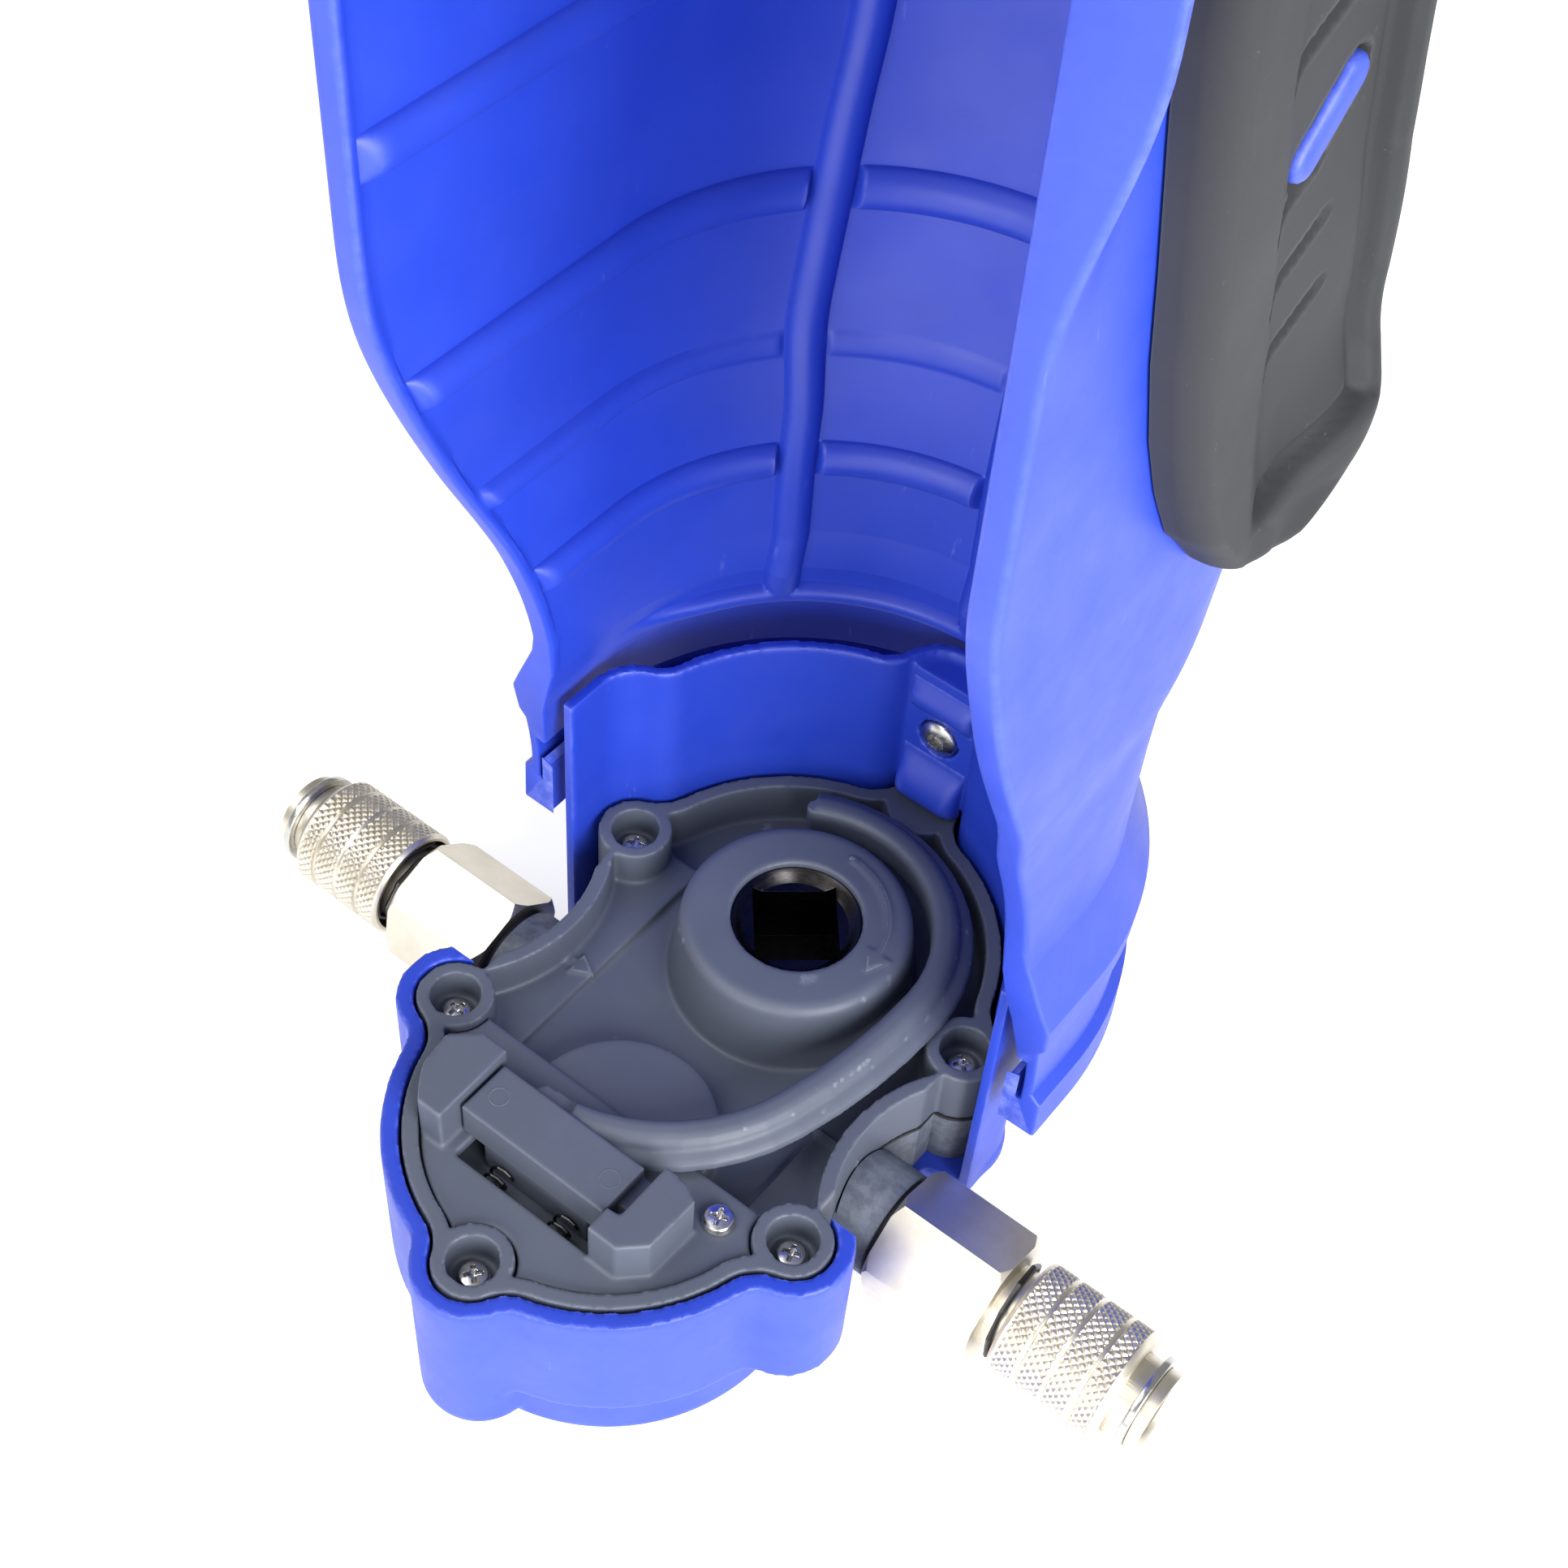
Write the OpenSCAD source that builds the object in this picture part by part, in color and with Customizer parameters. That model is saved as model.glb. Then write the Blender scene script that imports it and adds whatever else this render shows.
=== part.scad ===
/* [Gear set] */
// Tooth module of the two equal pump gears
gear_module = 2.5; // [2:0.25:3.5]
// Teeth on each gear
gear_teeth = 17; // [17:1:24]
// Width of the gear faces
gear_width = 14.4; // [10:0.2:20]
// Radius of the journals that turn in the bushes
journal_r = 6; // [4:0.25:7]
// Wall of the plain bushes
bush_wall = 2.4; // [1.2:0.1:3.5]
// Length of the lower bushes
bush_length = 6.4; // [4:0.2:10]

/* [Drive socket] */
// Across flats of the square drive that turns the pump
drive_square = 12.7; // [9.5:0.1:14]
// Depth of the square socket
socket_depth = 13; // [9:0.5:15]
// Metal left outside the corners of the square
socket_wall = 0.75; // [0.6:0.05:2]
// Angle of the square at rest
socket_turn = 40.6; // [0:0.1:45]
// Diameter of the pin that locks the drive gear to its shaft
lock_pin_d = 4; // [3:0.25:5]

/* [Pump case] */
// Wall between the rear gear chamber and the outside
hub_case_wall = 7.6; // [5:0.2:10]
// Wall between the front gear chamber and the outside
nose_case_wall = 5.8; // [4:0.2:9]
// Outer radius of each screw lobe
lobe_r = 5.8; // [5:0.1:8]
// Width of the raised rim around the cover
rim_wall = 2.4; // [1.6:0.1:3.5]
// Height of the rim above the cover floor
rim_height = 8; // [6:0.5:12]
// Thickness of the cover floor
cover_plate = 2.4; // [2:0.1:4]
// Thickness of the chamber gasket
gasket_thick = 0.6; // [0.3:0.1:1.2]
// Height of the hub above the rim
hub_rise = 5; // [3:0.5:9]
// Thickness of the hub wall outside the bush pocket
hub_wall = 5.5; // [3:0.25:8]
// Shank diameter of the case screws
screw_d = 2.9; // [2.5:0.1:3.5]
// Head diameter of the case screws
screw_head_d = 4.8; // [4:0.1:6]
// Depth of the counterbores over the case screws
counterbore_depth = 5.5; // [3:0.5:6]

/* [Latch] */
// Thickness of the latch plate
latch_plate_thick = 2; // [1.5:0.1:3]
// Height of the slider block above the latch plate
slider_height = 6.5; // [5:0.5:9]
// Radius of the crest of the curved arm
arm_r = 22; // [21.8:0.1:23]

/* [Cup and shell] */
// Wall of the cup
cup_wall = 2.6; // [2:0.1:4]
// Floor of the cup
cup_floor = 2.4; // [2:0.1:4]
// Height of the tall rear wall above the rim
tall_wall_rise = 29; // [20:1:34]
// Wall of the shell
shell_wall = 3.5; // [2.5:0.1:5]
// Inner half width of the cradle above the waist
cradle_half_width = 41.6; // [40:0.5:52]
// Height of the shell above the rim
shell_rise = 206; // [150:1:260]
// How far the upper cradle leans back behind the waist
cradle_lean = 11.5; // [0:0.5:20]
// Height of the stiffening ribs inside the shell
rib_height = 1.8; // [1:0.1:3]
// Thickness of the rubber grip pads
pad_thick = 5; // [3:0.25:8]

/* [Couplers] */
// Across flats of the coupler hexagon
hex_flats = 19; // [17:0.5:24]
// Length of the coupler hexagon
hex_length = 18.4; // [12:0.2:24]
// Outer diameter of the knurled sleeve
sleeve_d = 18.4; // [17:0.2:24]
// Length of the knurled sleeve
sleeve_length = 18.3; // [14:0.1:26]
// Bore of the coupler that takes the hose plug
plug_bore_d = 10.4; // [9.6:0.1:11]
// Travel of the sleeve towards the hexagon
sleeve_travel = 2; // [1:0.25:2.5]
// Diameter of the locking balls
ball_d = 2.4; // [2:0.1:2.8]
// Locking balls in each coupler
ball_count = 6; // [4:1:8]
// Radius of the pipe thread between coupler and pump
thread_r = 4.8; // [4:0.1:5]

/* [Clearances] */
// Radial running clearance of shafts and sleeves
run_clear = 0.05; // [0.02:0.01:0.1]
// Gap between the pump case and the cup
case_gap = 0.4; // [0.2:0.05:0.8]
// Gap around parts that slide
slide_gap = 0.3; // [0.2:0.05:0.5]
// Radial clearance around screws
screw_clear = 0.1; // [0.05:0.05:0.3]

/* [Hidden] */
$fn = 64;
EPS = 0.01;

blue = [0.10, 0.20, 0.82];
grey = [0.26, 0.29, 0.34];
black = [0.12, 0.12, 0.13];
nickel = [0.80, 0.78, 0.72];
steel = [0.55, 0.56, 0.58];
dark_steel = [0.16, 0.16, 0.17];
bronze = [0.70, 0.52, 0.28];

// Gears: two equal spur gears, the drive gear on the Z axis and the driven gear in front of it.
pitch_r = gear_module * gear_teeth / 2;
tip_r = pitch_r + gear_module;
root_r = pitch_r - 1.2 * gear_module;
centre_distance = 2 * pitch_r;
chamber_r = tip_r + 0.15;
pressure_angle = 20;
tooth_backlash = 0.16;
side_clear = 0.1;

// Heights, from the base up.
body_z = cup_floor;
bush_z = body_z + 1.6;
chamber_z = bush_z + bush_length;
gear_z = chamber_z + side_clear;
body_top = chamber_z + gear_width + 2 * side_clear;
cover_z = body_top + gasket_thick;
floor_z = cover_z + cover_plate;
rim_z = floor_z + rim_height;
hub_top = rim_z + hub_rise;
port_z = chamber_z + gear_width / 2 + 1.9;
skirt_z = body_z + 12.1;

// Drive shaft and hub.
head_r = drive_square / sqrt(2) + socket_wall + 0.07;
hub_open_r = head_r + 0.2;
neck_r = journal_r + 2;
bush_r = journal_r + run_clear + bush_wall;
upper_bush_r = head_r + run_clear + bush_wall;
hub_r = upper_bush_r + hub_wall;
hub_base_r = hub_r + 1.4;
hub_lip = 2.8;
seal_height = 4;
disc_r = 14.6;
disc_z = rim_z - 3;
shaft_top = hub_top - 1;

// Case outline.
hub_case_r = chamber_r + hub_case_wall;
nose_case_r = chamber_r + nose_case_wall;
rear_boss = [hub_case_r + 0.2, 0];
front_boss = [nose_case_r + 1.9, 1.5 - centre_distance];
nose_boss = [0, 0.7 - centre_distance - nose_case_r];
back_lobe = [0, hub_case_r + 1.7];
lobe_blend = 7;
flank_blend = 23;
skirt_r = chamber_r + 4.1;
bosses = [rear_boss, flip(rear_boss), front_boss, flip(front_boss), nose_boss];
boss_hole_r = screw_head_d / 2 + 1.3;
screw_r = screw_d / 2;
screw_hole_r = screw_r + screw_clear;
screw_seat_z = rim_z - counterbore_depth;
screw_end_z = skirt_z - 2.2;

// Cup.
cup_in = case_gap;
cup_out = case_gap + cup_wall;
tall_in = 0.8;
tall_wall = 1.8;
tall_out = tall_in + tall_wall;
tall_top = rim_z + tall_wall_rise;
tall_front = -7;
opening_front = -35;
cup_low = skirt_z - 3;
socket_cup_r = skirt_r + case_gap + cup_wall;
bracket_w = 11.5;
bracket_y = back_lobe[1] + 1.3;
bracket_z = rim_z + 15;
tall_back = back_lobe[1] + lobe_r + tall_out;
tall_side = rear_boss[0] + lobe_r + tall_out;

// Latch.
plate_z = rim_z - 1 - latch_plate_thick;
plate_top = rim_z - 1;
slot_front = -60.4;
slider_front = -57;
slider_back = -48;
slider_x = [-15.3, 10.7];
slider_z = plate_top + slide_gap / 2;
slider_top = plate_top + slider_height;
tongue_front = -56.4;
tongue_back = -52.3;
spring_wall_y = -64.4;
spring_z = floor_z + 2.6;
latch_spring_x = [-8, 4];
guide_top = plate_top + 8;
plate_screw = [21.7, -45.1];

// Shell.
shell_top = rim_z + shell_rise;
tab_r = tall_side + slide_gap;
waist_r = tall_side - 0.9;
rib_levels = [rim_z + 59.5, rim_z + 102.5, rim_z + 139.3];
rib_half = 2.8;
rib_top_half = 1.2;
thin_rib_z = rim_z + 79;
thin_rib_half = 1.4;
thin_rib_height = 0.9;
rib_angles = [45, 91, 135.5];
pad_bottom = rim_z + 107;
pad_swell = 3.6;
pad_end = shell_top - 2;

// Couplers, along +X from the pump case.
port_y = -22;
port_face = rear_boss[0] + lobe_r - 0.5;
port_boss_r = 8.6;
washer_thick = 1;
hex_x = port_face + washer_thick;
hex_end = hex_x + hex_length;
sleeve_x = hex_end + sleeve_travel + 1;
sleeve_end = sleeve_x + sleeve_length;
tip_x = sleeve_end + 5.3;
bore_r = plug_bore_d / 2;
nose_r = bore_r + 1.3;
sleeve_r = sleeve_d / 2;
spring_room_r = sleeve_r - 0.95;
sleeve_land = sleeve_x + 11;
spigot_x = port_face - 12;
valve_r = 4.6;
flow_r = 3.4;
seat_x = hex_end + 8;
poppet_r = 4.2;
driven_bush_height = 5.4;
stop_x = hex_x + 7;
ball_x = sleeve_end - 3;
ball_start = 25;
mouth_r = bore_r + 0.2;
mouth_x = ball_x + ball_d / 2 + 0.6;
mouth_chamfer = 0.8;

function flip(p) = [-p[0], p[1]];
function smooth(v, a, b) = let (t = min(1, max(0, (v - a) / (b - a)))) t * t * (3 - 2 * t);
function arc(c, r, a0, a1, n) = [for (i = [0:n]) let (a = a0 + (a1 - a0) * i / n) c + r * [cos(a), sin(a)]];
function sorted(v) = len(v) < 2 ? v :
    let (p = v[0], rest = [for (i = [1:len(v) - 1]) v[i]])
    concat(sorted([for (e = rest) if (e < p) e]), [p], sorted([for (e = rest) if (e >= p) e]));

module ring(r_out, r_in, h) {
    difference() {
        cylinder(r = r_out, h = h);
        translate([0, 0, -1]) cylinder(r = r_in, h = h + 2);
    }
}

// Fills the concave corner between two circles with an arc of radius f; grow offsets the whole outline.
module blend(c1, r1, c2, r2, f, grow, side) {
    d = norm(c2 - c1);
    a = ((r1 + f) * (r1 + f) - (r2 + f) * (r2 + f) + d * d) / (2 * d);
    u = (c2 - c1) / d;
    centre = c1 + a * u + side * sqrt((r1 + f) * (r1 + f) - a * a) * [-u[1], u[0]];
    difference() {
        polygon(side > 0 ? [c1, c2, centre] : [c1, centre, c2]);
        translate(centre) circle(f - grow);
    }
}

module both_sides() {
    children();
    mirror([1, 0]) children();
}

// Outline of the pump case, offset outwards by grow.
module outline(grow) {
    hub = [0, 0];
    nose = [0, -centre_distance];
    flank = [-(rear_boss[0] + front_boss[0]) / 2, (rear_boss[1] + front_boss[1]) / 2];
    half = norm(rear_boss - front_boss) / 2;
    reach = sqrt(pow(lobe_r + flank_blend, 2) - half * half);
    circle(hub_case_r + grow, $fn = 128);
    translate(nose) circle(nose_case_r + grow, $fn = 128);
    for (b = concat(bosses, [back_lobe])) translate(b) circle(lobe_r + grow);
    difference() {
        polygon([rear_boss, flip(rear_boss), flip(front_boss), front_boss]);
        for (s = [-1, 1]) translate([s * (reach - flank[0]), flank[1]]) circle(flank_blend - grow, $fn = 96);
    }
    both_sides() {
        blend(rear_boss, lobe_r, hub, hub_case_r, lobe_blend, grow, -1);
        blend(front_boss, lobe_r, nose, nose_case_r, lobe_blend, grow, 1);
        blend(nose_boss, lobe_r, nose, nose_case_r, lobe_blend, grow, -1);
        blend(back_lobe, lobe_r, hub, hub_case_r, lobe_blend, grow, 1);
    }
}

// The tall wall keeps the outline at the back and runs straight forward beside the rear bosses.
module tall_outline(grow) {
    outline(grow);
    translate([-rear_boss[0] - lobe_r - grow, tall_front])
        square([2 * (rear_boss[0] + lobe_r + grow), -tall_front]);
}

module slab(z0, z1) { translate([0, 0, z0]) linear_extrude(z1 - z0) children(); }

// One gear tooth flank pair as an involute, from the root to the tip.
function involute(r) = let (base = pitch_r * cos(pressure_angle), t = sqrt(max(0, pow(r / base, 2) - 1)))
    t * 180 / PI - atan(t);
function half_tooth(r) = 90 / gear_teeth - tooth_backlash / pitch_r * 90 / PI
    + involute(pitch_r) - involute(max(r, pitch_r * cos(pressure_angle)));
function gear_points(phase) =
    let (base = pitch_r * cos(pressure_angle), radii = [root_r, base, pitch_r - gear_module / 3,
         pitch_r + gear_module / 3, tip_r])
    [for (k = [0:gear_teeth - 1]) let (mid = phase + k * 360 / gear_teeth)
        each concat([for (r = radii) r * [cos(mid - half_tooth(r)), sin(mid - half_tooth(r))]],
                    [for (i = [4:-1:0]) let (r = radii[i])
                        r * [cos(mid + half_tooth(r)), sin(mid + half_tooth(r))]])];

module gear(phase, bore) {
    difference() {
        slab(gear_z, gear_z + gear_width) polygon(gear_points(phase));
        translate([0, 0, gear_z - 1]) cylinder(r = bore, h = gear_width + 2);
    }
}

module drive_shaft() {
    square_side = drive_square + 0.1;
    color(dark_steel) difference() {
        union() {
            translate([0, 0, bush_z + 0.1]) cylinder(r = journal_r, h = bush_length);
            translate([0, 0, gear_z]) cylinder(r = neck_r, h = gear_width + side_clear);
            translate([0, 0, body_top]) cylinder(r = head_r, h = shaft_top - body_top);
        }
        translate([0, 0, shaft_top - socket_depth / 2 + 0.5]) rotate(socket_turn)
            cube([square_side, square_side, socket_depth + 1], center = true);
        translate([0, 0, shaft_top - 1.6]) cylinder(r1 = head_r - 1.8, r2 = head_r - 0.1, h = 1.6 + EPS);
        lock_pin_hole();
    }
}

module lock_pin_hole() {
    translate([0, 0, gear_z + gear_width / 2]) rotate([90, 0, 0])
        cylinder(d = lock_pin_d + 0.06, h = 2 * root_r + 2, center = true);
}

module drive_gear() {
    color(steel) difference() {
        gear(-90, neck_r);
        lock_pin_hole();
    }
}

module drive_lock_pin() {
    color(steel) translate([0, 0, gear_z + gear_width / 2]) rotate([90, 0, 0])
        cylinder(d = lock_pin_d, h = 2 * root_r - 2, center = true);
}

module driven_shaft() {
    color(steel) translate([0, -centre_distance, bush_z + 0.1])
        cylinder(r = journal_r, h = cover_z + 4.8 - bush_z);
}

module driven_gear() {
    color(steel) translate([0, -centre_distance, 0]) gear(90 + 180 / gear_teeth, journal_r);
}

module drive_bush_upper() {
    color(bronze) translate([0, 0, cover_z])
        ring(upper_bush_r, head_r + run_clear, hub_top - hub_lip - seal_height - cover_z);
}

module drive_bush_lower() {
    color(bronze) translate([0, 0, bush_z]) ring(bush_r, journal_r + run_clear, bush_length);
}

module driven_bush_upper() {
    color(bronze) translate([0, -centre_distance, cover_z])
        ring(bush_r, journal_r + run_clear, driven_bush_height);
}

module driven_bush_lower() {
    color(bronze) translate([0, -centre_distance, bush_z])
        ring(bush_r, journal_r + run_clear, bush_length);
}

module shaft_seal() {
    top = hub_top - hub_lip;
    color(black) difference() {
        translate([0, 0, top - seal_height]) ring(upper_bush_r, head_r + run_clear, seal_height);
        translate([0, 0, top - seal_height - EPS]) ring(upper_bush_r - 0.8, head_r + 0.7, seal_height - 1);
    }
}

module pump_body() {
    color(grey) difference() {
        union() {
            slab(skirt_z, body_top) outline(0);
            for (y = [0, -centre_distance]) translate([0, y, body_z])
                cylinder(r = skirt_r, h = skirt_z - body_z + 1);
            for (s = [0, 1]) mirror([s, 0, 0]) translate([neck_r, port_y, port_z]) rotate([0, 90, 0])
                cylinder(r = port_boss_r, h = port_face - neck_r);
        }
        slab(body_top, rim_z + 1) outline(slide_gap);
        for (y = [0, -centre_distance]) translate([0, y, 0]) {
            translate([0, 0, chamber_z]) cylinder(r = chamber_r, h = rim_z);
            translate([0, 0, bush_z]) cylinder(r = bush_r, h = rim_z);
        }
        for (s = [0, 1]) mirror([s, 0, 0]) translate([0, port_y, port_z]) rotate([0, 90, 0]) {
            translate([0, 0, neck_r]) cylinder(r = flow_r, h = port_face);
            translate([0, 0, spigot_x]) cylinder(r = thread_r + screw_clear, h = port_face);
        }
        for (b = bosses) translate([b[0], b[1], 0]) cylinder(r = screw_hole_r, h = rim_z);
    }
}

module chamber_gasket() {
    color(black) difference() {
        slab(body_top, cover_z) outline(0);
        for (y = [0, -centre_distance]) translate([0, y, body_top - 1]) cylinder(r = chamber_r + 0.3, h = 3);
        for (b = bosses) translate([b[0], b[1], body_top - 1]) cylinder(r = screw_hole_r, h = 3);
    }
}

// Raised arrow with its tail at the origin, pointing along +X.
module arrow_mark(length) {
    translate([0, -0.5]) square([length - 2.5, 1]);
    translate([length - 3.5, -2]) polygon([[0, 0], [3.5, 2], [0, 4]]);
}

module hub_profile() {
    r = 2;
    polygon(concat([[0, 0], [hub_base_r, 0]], arc([hub_r - r, hub_top - floor_z - r], r, 0, 90, 6),
                   [[0, hub_top - floor_z]]));
}

module pump_cover() {
    band_x = 21.5;
    arrow_r = (hub_open_r + hub_r) / 2;
    seal_top = hub_top - hub_lip;
    color(grey) difference() {
        union() {
            slab(cover_z, floor_z) outline(0);
            slab(floor_z - 1, rim_z) difference() {
                outline(0);
                outline(-rim_wall);
            }
            for (b = bosses) translate([b[0], b[1], floor_z - 1]) cylinder(r = lobe_r, h = rim_height + 1);
            translate([back_lobe[0], back_lobe[1], floor_z - 1]) cylinder(r = lobe_r, h = rim_height + 1);
            translate([0, 0, floor_z]) rotate_extrude($fn = 96) hub_profile();
            difference() {
                translate([0, 1.5 - centre_distance, floor_z - 1])
                    cylinder(r = disc_r, h = disc_z - floor_z + 1);
                translate([-disc_r - 1, -disc_r - 2 - centre_distance, floor_z])
                    cube([2 * disc_r + 2, disc_r + 2 - bush_r - 0.9, rim_height]);
            }
            slab(floor_z - 1, floor_z + 1.5) intersection() {
                outline(-1);
                both_sides() translate([band_x, -centre_distance + 4]) square([band_x, centre_distance]);
            }
            slab(floor_z - 1, plate_z) intersection() {
                difference() {
                    outline(-1);
                    outline(-rim_wall - 2.2);
                    translate([-13, nose_boss[1] + lobe_r - 1.3]) square([26, 20]);
                }
                translate([-60, -90]) square([120, 90 - 42]);
            }
            translate([plate_screw[0], plate_screw[1], floor_z - 1])
                cylinder(r = 3, h = plate_z - floor_z + 1);
            slab(hub_top - 1, hub_top + 0.3) intersection() {
                difference() {
                    circle(arrow_r + 0.5);
                    circle(arrow_r - 0.5);
                }
                polygon([[0, 0], [0, 30], [30, 30], [30, 0]]);
            }
            slab(hub_top - 1, hub_top + 0.3) translate([arrow_r, 1.5]) rotate(-90) translate([-0.5, 0])
                arrow_mark(3.4);
            for (s = [-1, 1]) slab(floor_z, floor_z + 1.8) translate([s * 25.3 - 4, -22]) arrow_mark(8);
        }
        for (b = bosses) translate([b[0], b[1], 0]) {
            cylinder(r = screw_hole_r, h = rim_z + 1);
            translate([0, 0, screw_seat_z]) cylinder(r = boss_hole_r, h = rim_z);
        }
        translate([0, 0, cover_z - 1]) cylinder(r = upper_bush_r, h = seal_top - cover_z + 1);
        cylinder(r = hub_open_r, h = hub_top + 1);
        translate([0, -centre_distance, cover_z - 1]) cylinder(r = bush_r, h = 1 + 5.6);
        translate([plate_screw[0], plate_screw[1], floor_z + 0.5])
            cylinder(r = screw_hole_r, h = rim_height);
    }
}

module pan_screw(length) {
    difference() {
        union() {
            cylinder(d = screw_head_d, h = 1.1);
            translate([0, 0, 1.1]) cylinder(d1 = screw_head_d, d2 = screw_head_d - 1.4, h = 0.6);
            translate([0, 0, -length]) cylinder(r = screw_r, h = length + EPS);
        }
        for (a = [0, 90]) rotate(a + 20) translate([0, 0, 1.4]) cube([2.8, 0.6, 1.2], center = true);
    }
}

module cover_screws() {
    color(steel) for (b = bosses) translate([b[0], b[1], screw_seat_z])
        pan_screw(screw_seat_z - screw_end_z);
}

module latch_plate_screw() {
    color(steel) translate([plate_screw[0], plate_screw[1], plate_top]) pan_screw(plate_top - floor_z - 1);
}

module lower_cup() {
    reach = 2 * (hub_case_r + 20);
    color(blue) difference() {
        union() {
            slab(cup_low, rim_z) difference() {
                outline(cup_out);
                translate([-reach / 2, opening_front]) square([reach, reach]);
            }
            slab(cup_low, skirt_z) outline(cup_out);
            slab(cup_low, tall_top) intersection() {
                tall_outline(tall_out);
                translate([-reach / 2, tall_front]) square([reach, reach]);
            }
            for (y = [0, -centre_distance]) translate([0, y, 0]) rotate_extrude($fn = 96)
                polygon(concat([[0, 0]], arc([socket_cup_r - 2.5, 2.5], 2.5, -90, 0, 6),
                               [[socket_cup_r, skirt_z], [0, skirt_z]]));
            translate([nose_boss[0], nose_boss[1], 0]) rotate_extrude()
                polygon(concat([[0, 2.2]], arc([lobe_r + cup_out - 2.5, 4.7], 2.5, -90, 0, 6),
                               [[lobe_r + cup_out, skirt_z], [0, skirt_z]]));
        }
        slab(skirt_z, rim_z + 1) outline(cup_in);
        slab(rim_z, tall_top + 1) tall_outline(tall_in);
        slab(skirt_z, rim_z + 1) intersection() {
            tall_outline(tall_in);
            translate([-reach / 2, tall_front - 1]) square([reach, reach]);
        }
        for (y = [0, -centre_distance]) translate([0, y, cup_floor])
            cylinder(r = skirt_r + case_gap, h = rim_z);
        for (s = [0, 1]) mirror([s, 0, 0]) translate([0, port_y, port_z]) rotate([0, 90, 0])
            cylinder(r = port_boss_r + case_gap, h = reach);
        for (b = bosses) translate([b[0], b[1], screw_end_z - 0.5]) cylinder(r = screw_hole_r, h = rim_z);
        translate([0, bracket_y, bracket_z]) rotate([-90, 0, 0])
            cylinder(r = shell_screw_r + screw_clear, h = tall_back);
    }
    color(blue) bracket();
}

// Block on the tall wall that carries the shell screw.
module bracket() {
    depth = tall_back - tall_wall - bracket_y + 0.2;
    bottom = rim_z + slide_gap;
    translate([0, bracket_y, 0]) difference() {
        union() {
            translate([-bracket_w / 2, 0, bottom + 3]) cube([bracket_w, depth, tall_top - bottom - 4]);
            translate([-bracket_w / 2 + 3, 0, bottom]) cube([bracket_w - 6, depth, 4]);
            for (s = [-1, 1]) translate([s * (bracket_w / 2 - 3), 0, bottom + 3]) rotate([-90, 0, 0])
                cylinder(r = 3, h = depth);
        }
        translate([0, -1, bracket_z]) rotate([-90, 0, 0]) {
            cylinder(r = shell_screw_head_r + 0.2, h = 3);
            cylinder(r = shell_screw_r + screw_clear, h = depth + 9);
        }
    }
}

shell_screw_r = 2;
shell_screw_head_r = 3.4;
shell_boss_r = 4.6;

module shell_screw() {
    length = tall_back + 3.6 - bracket_y;
    color(steel) translate([0, bracket_y + 2, bracket_z]) rotate([-90, 0, 0]) difference() {
        union() {
            translate([0, 0, -2]) cylinder(r = shell_screw_head_r, h = 2);
            cylinder(r = shell_screw_r, h = length - 2);
        }
        translate([0, 0, -2 - EPS]) cylinder(r = 1.7, h = 1.5, $fn = 6);
    }
}

module latch_plate() {
    color(grey) difference() {
        union() {
            slab(plate_z, plate_top) intersection() {
                outline(-rim_wall - slide_gap);
                translate([-60, -100]) square([120, 100 - 40.5]);
            }
            slab(plate_z, guide_top) intersection() {
                outline(-rim_wall - slide_gap);
                union() {
                    polygon([[-23.2, -58.4], [-24.4, -50.2], [-20.4, -46.6], [-15.9, -46.6], [-15.7, -60.8],
                             [-21.6, -60.8]]);
                    polygon([[13.4, -46.6], [17.1, -46.9], [20, -48.4], [19.6, -57.5], [16.2, -60.8],
                             [11.2, -60.8], [11.2, -56.6], [13.4, -56.3]]);
                }
            }
            slab(spring_z - 2.3, plate_z + 1) translate([-11, spring_wall_y - 1]) square([18, 1]);
        }
        for (b = bosses) translate([b[0], b[1], plate_z - 1]) cylinder(r = lobe_r + slide_gap, h = 9);
        slab(plate_z - 1, plate_top + 1) translate([-13.6, slot_front])
            square([26.4, tongue_back - slot_front + slide_gap]);
        translate([plate_screw[0], plate_screw[1], 0]) cylinder(r = screw_hole_r, h = rim_z + 9);
    }
}

// Cross-section of the curved arm, [outwards, up]: a round bead beside the hub, a lower ledge outside it.
function arm_section() = let (low = slider_z + 0.15, high = rim_z + 0.5)
    concat([[2.8, low], [-1.4, low]], arc([0, slider_top - 2.1], 1.4, 180, 90, 3),
           arc([0.6, slider_top - 3.3], 2.6, 75, 15, 3), arc([3.8, high + 0.4], 1.4, 70, 0, 2),
           [[5.2, high], [2.8, high]]);

// The arm's path runs clockwise round the hub, down the right side and into the slider:
// [centre, radius, from, to].
arm_side_r = 88;
arm_side_turn = 17.5;
arm_bend_r = 30;
arm_side_centre = [arm_r - arm_side_r, 0];
arm_bend_centre = arm_side_centre + (arm_side_r - arm_bend_r) * [cos(arm_side_turn), -sin(arm_side_turn)];
arm_path = [[[0, 0], arm_r, 120, 0, 15], [arm_side_centre, arm_side_r, 0, -arm_side_turn, 4],
            [arm_bend_centre, arm_bend_r, -arm_side_turn, -76, 8]];

module arm() {
    section = arm_section();
    m = len(section);
    stations = [for (k = [0:2]) let (p = arm_path[k], n = p[4]) for (i = [k == 0 ? 0 : 1:n])
        [p[0], p[1], p[2] + (p[3] - p[2]) * i / n]];
    n = len(stations) - 1;
    points = [for (s = stations, q = section)
        [s[0][0] + (s[1] + q[0]) * cos(s[2]), s[0][1] + (s[1] + q[0]) * sin(s[2]), q[1]]];
    faces = concat([[for (k = [m - 1:-1:0]) k]],
        [for (i = [0:n - 1], k = [0:m - 1]) let (a = i * m + k, b = i * m + (k + 1) % m)
            each [[a, b, b + m], [a, b + m, a + m]]],
        [[for (k = [0:m - 1]) n * m + k]]);
    polyhedron(points, faces);
}

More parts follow.
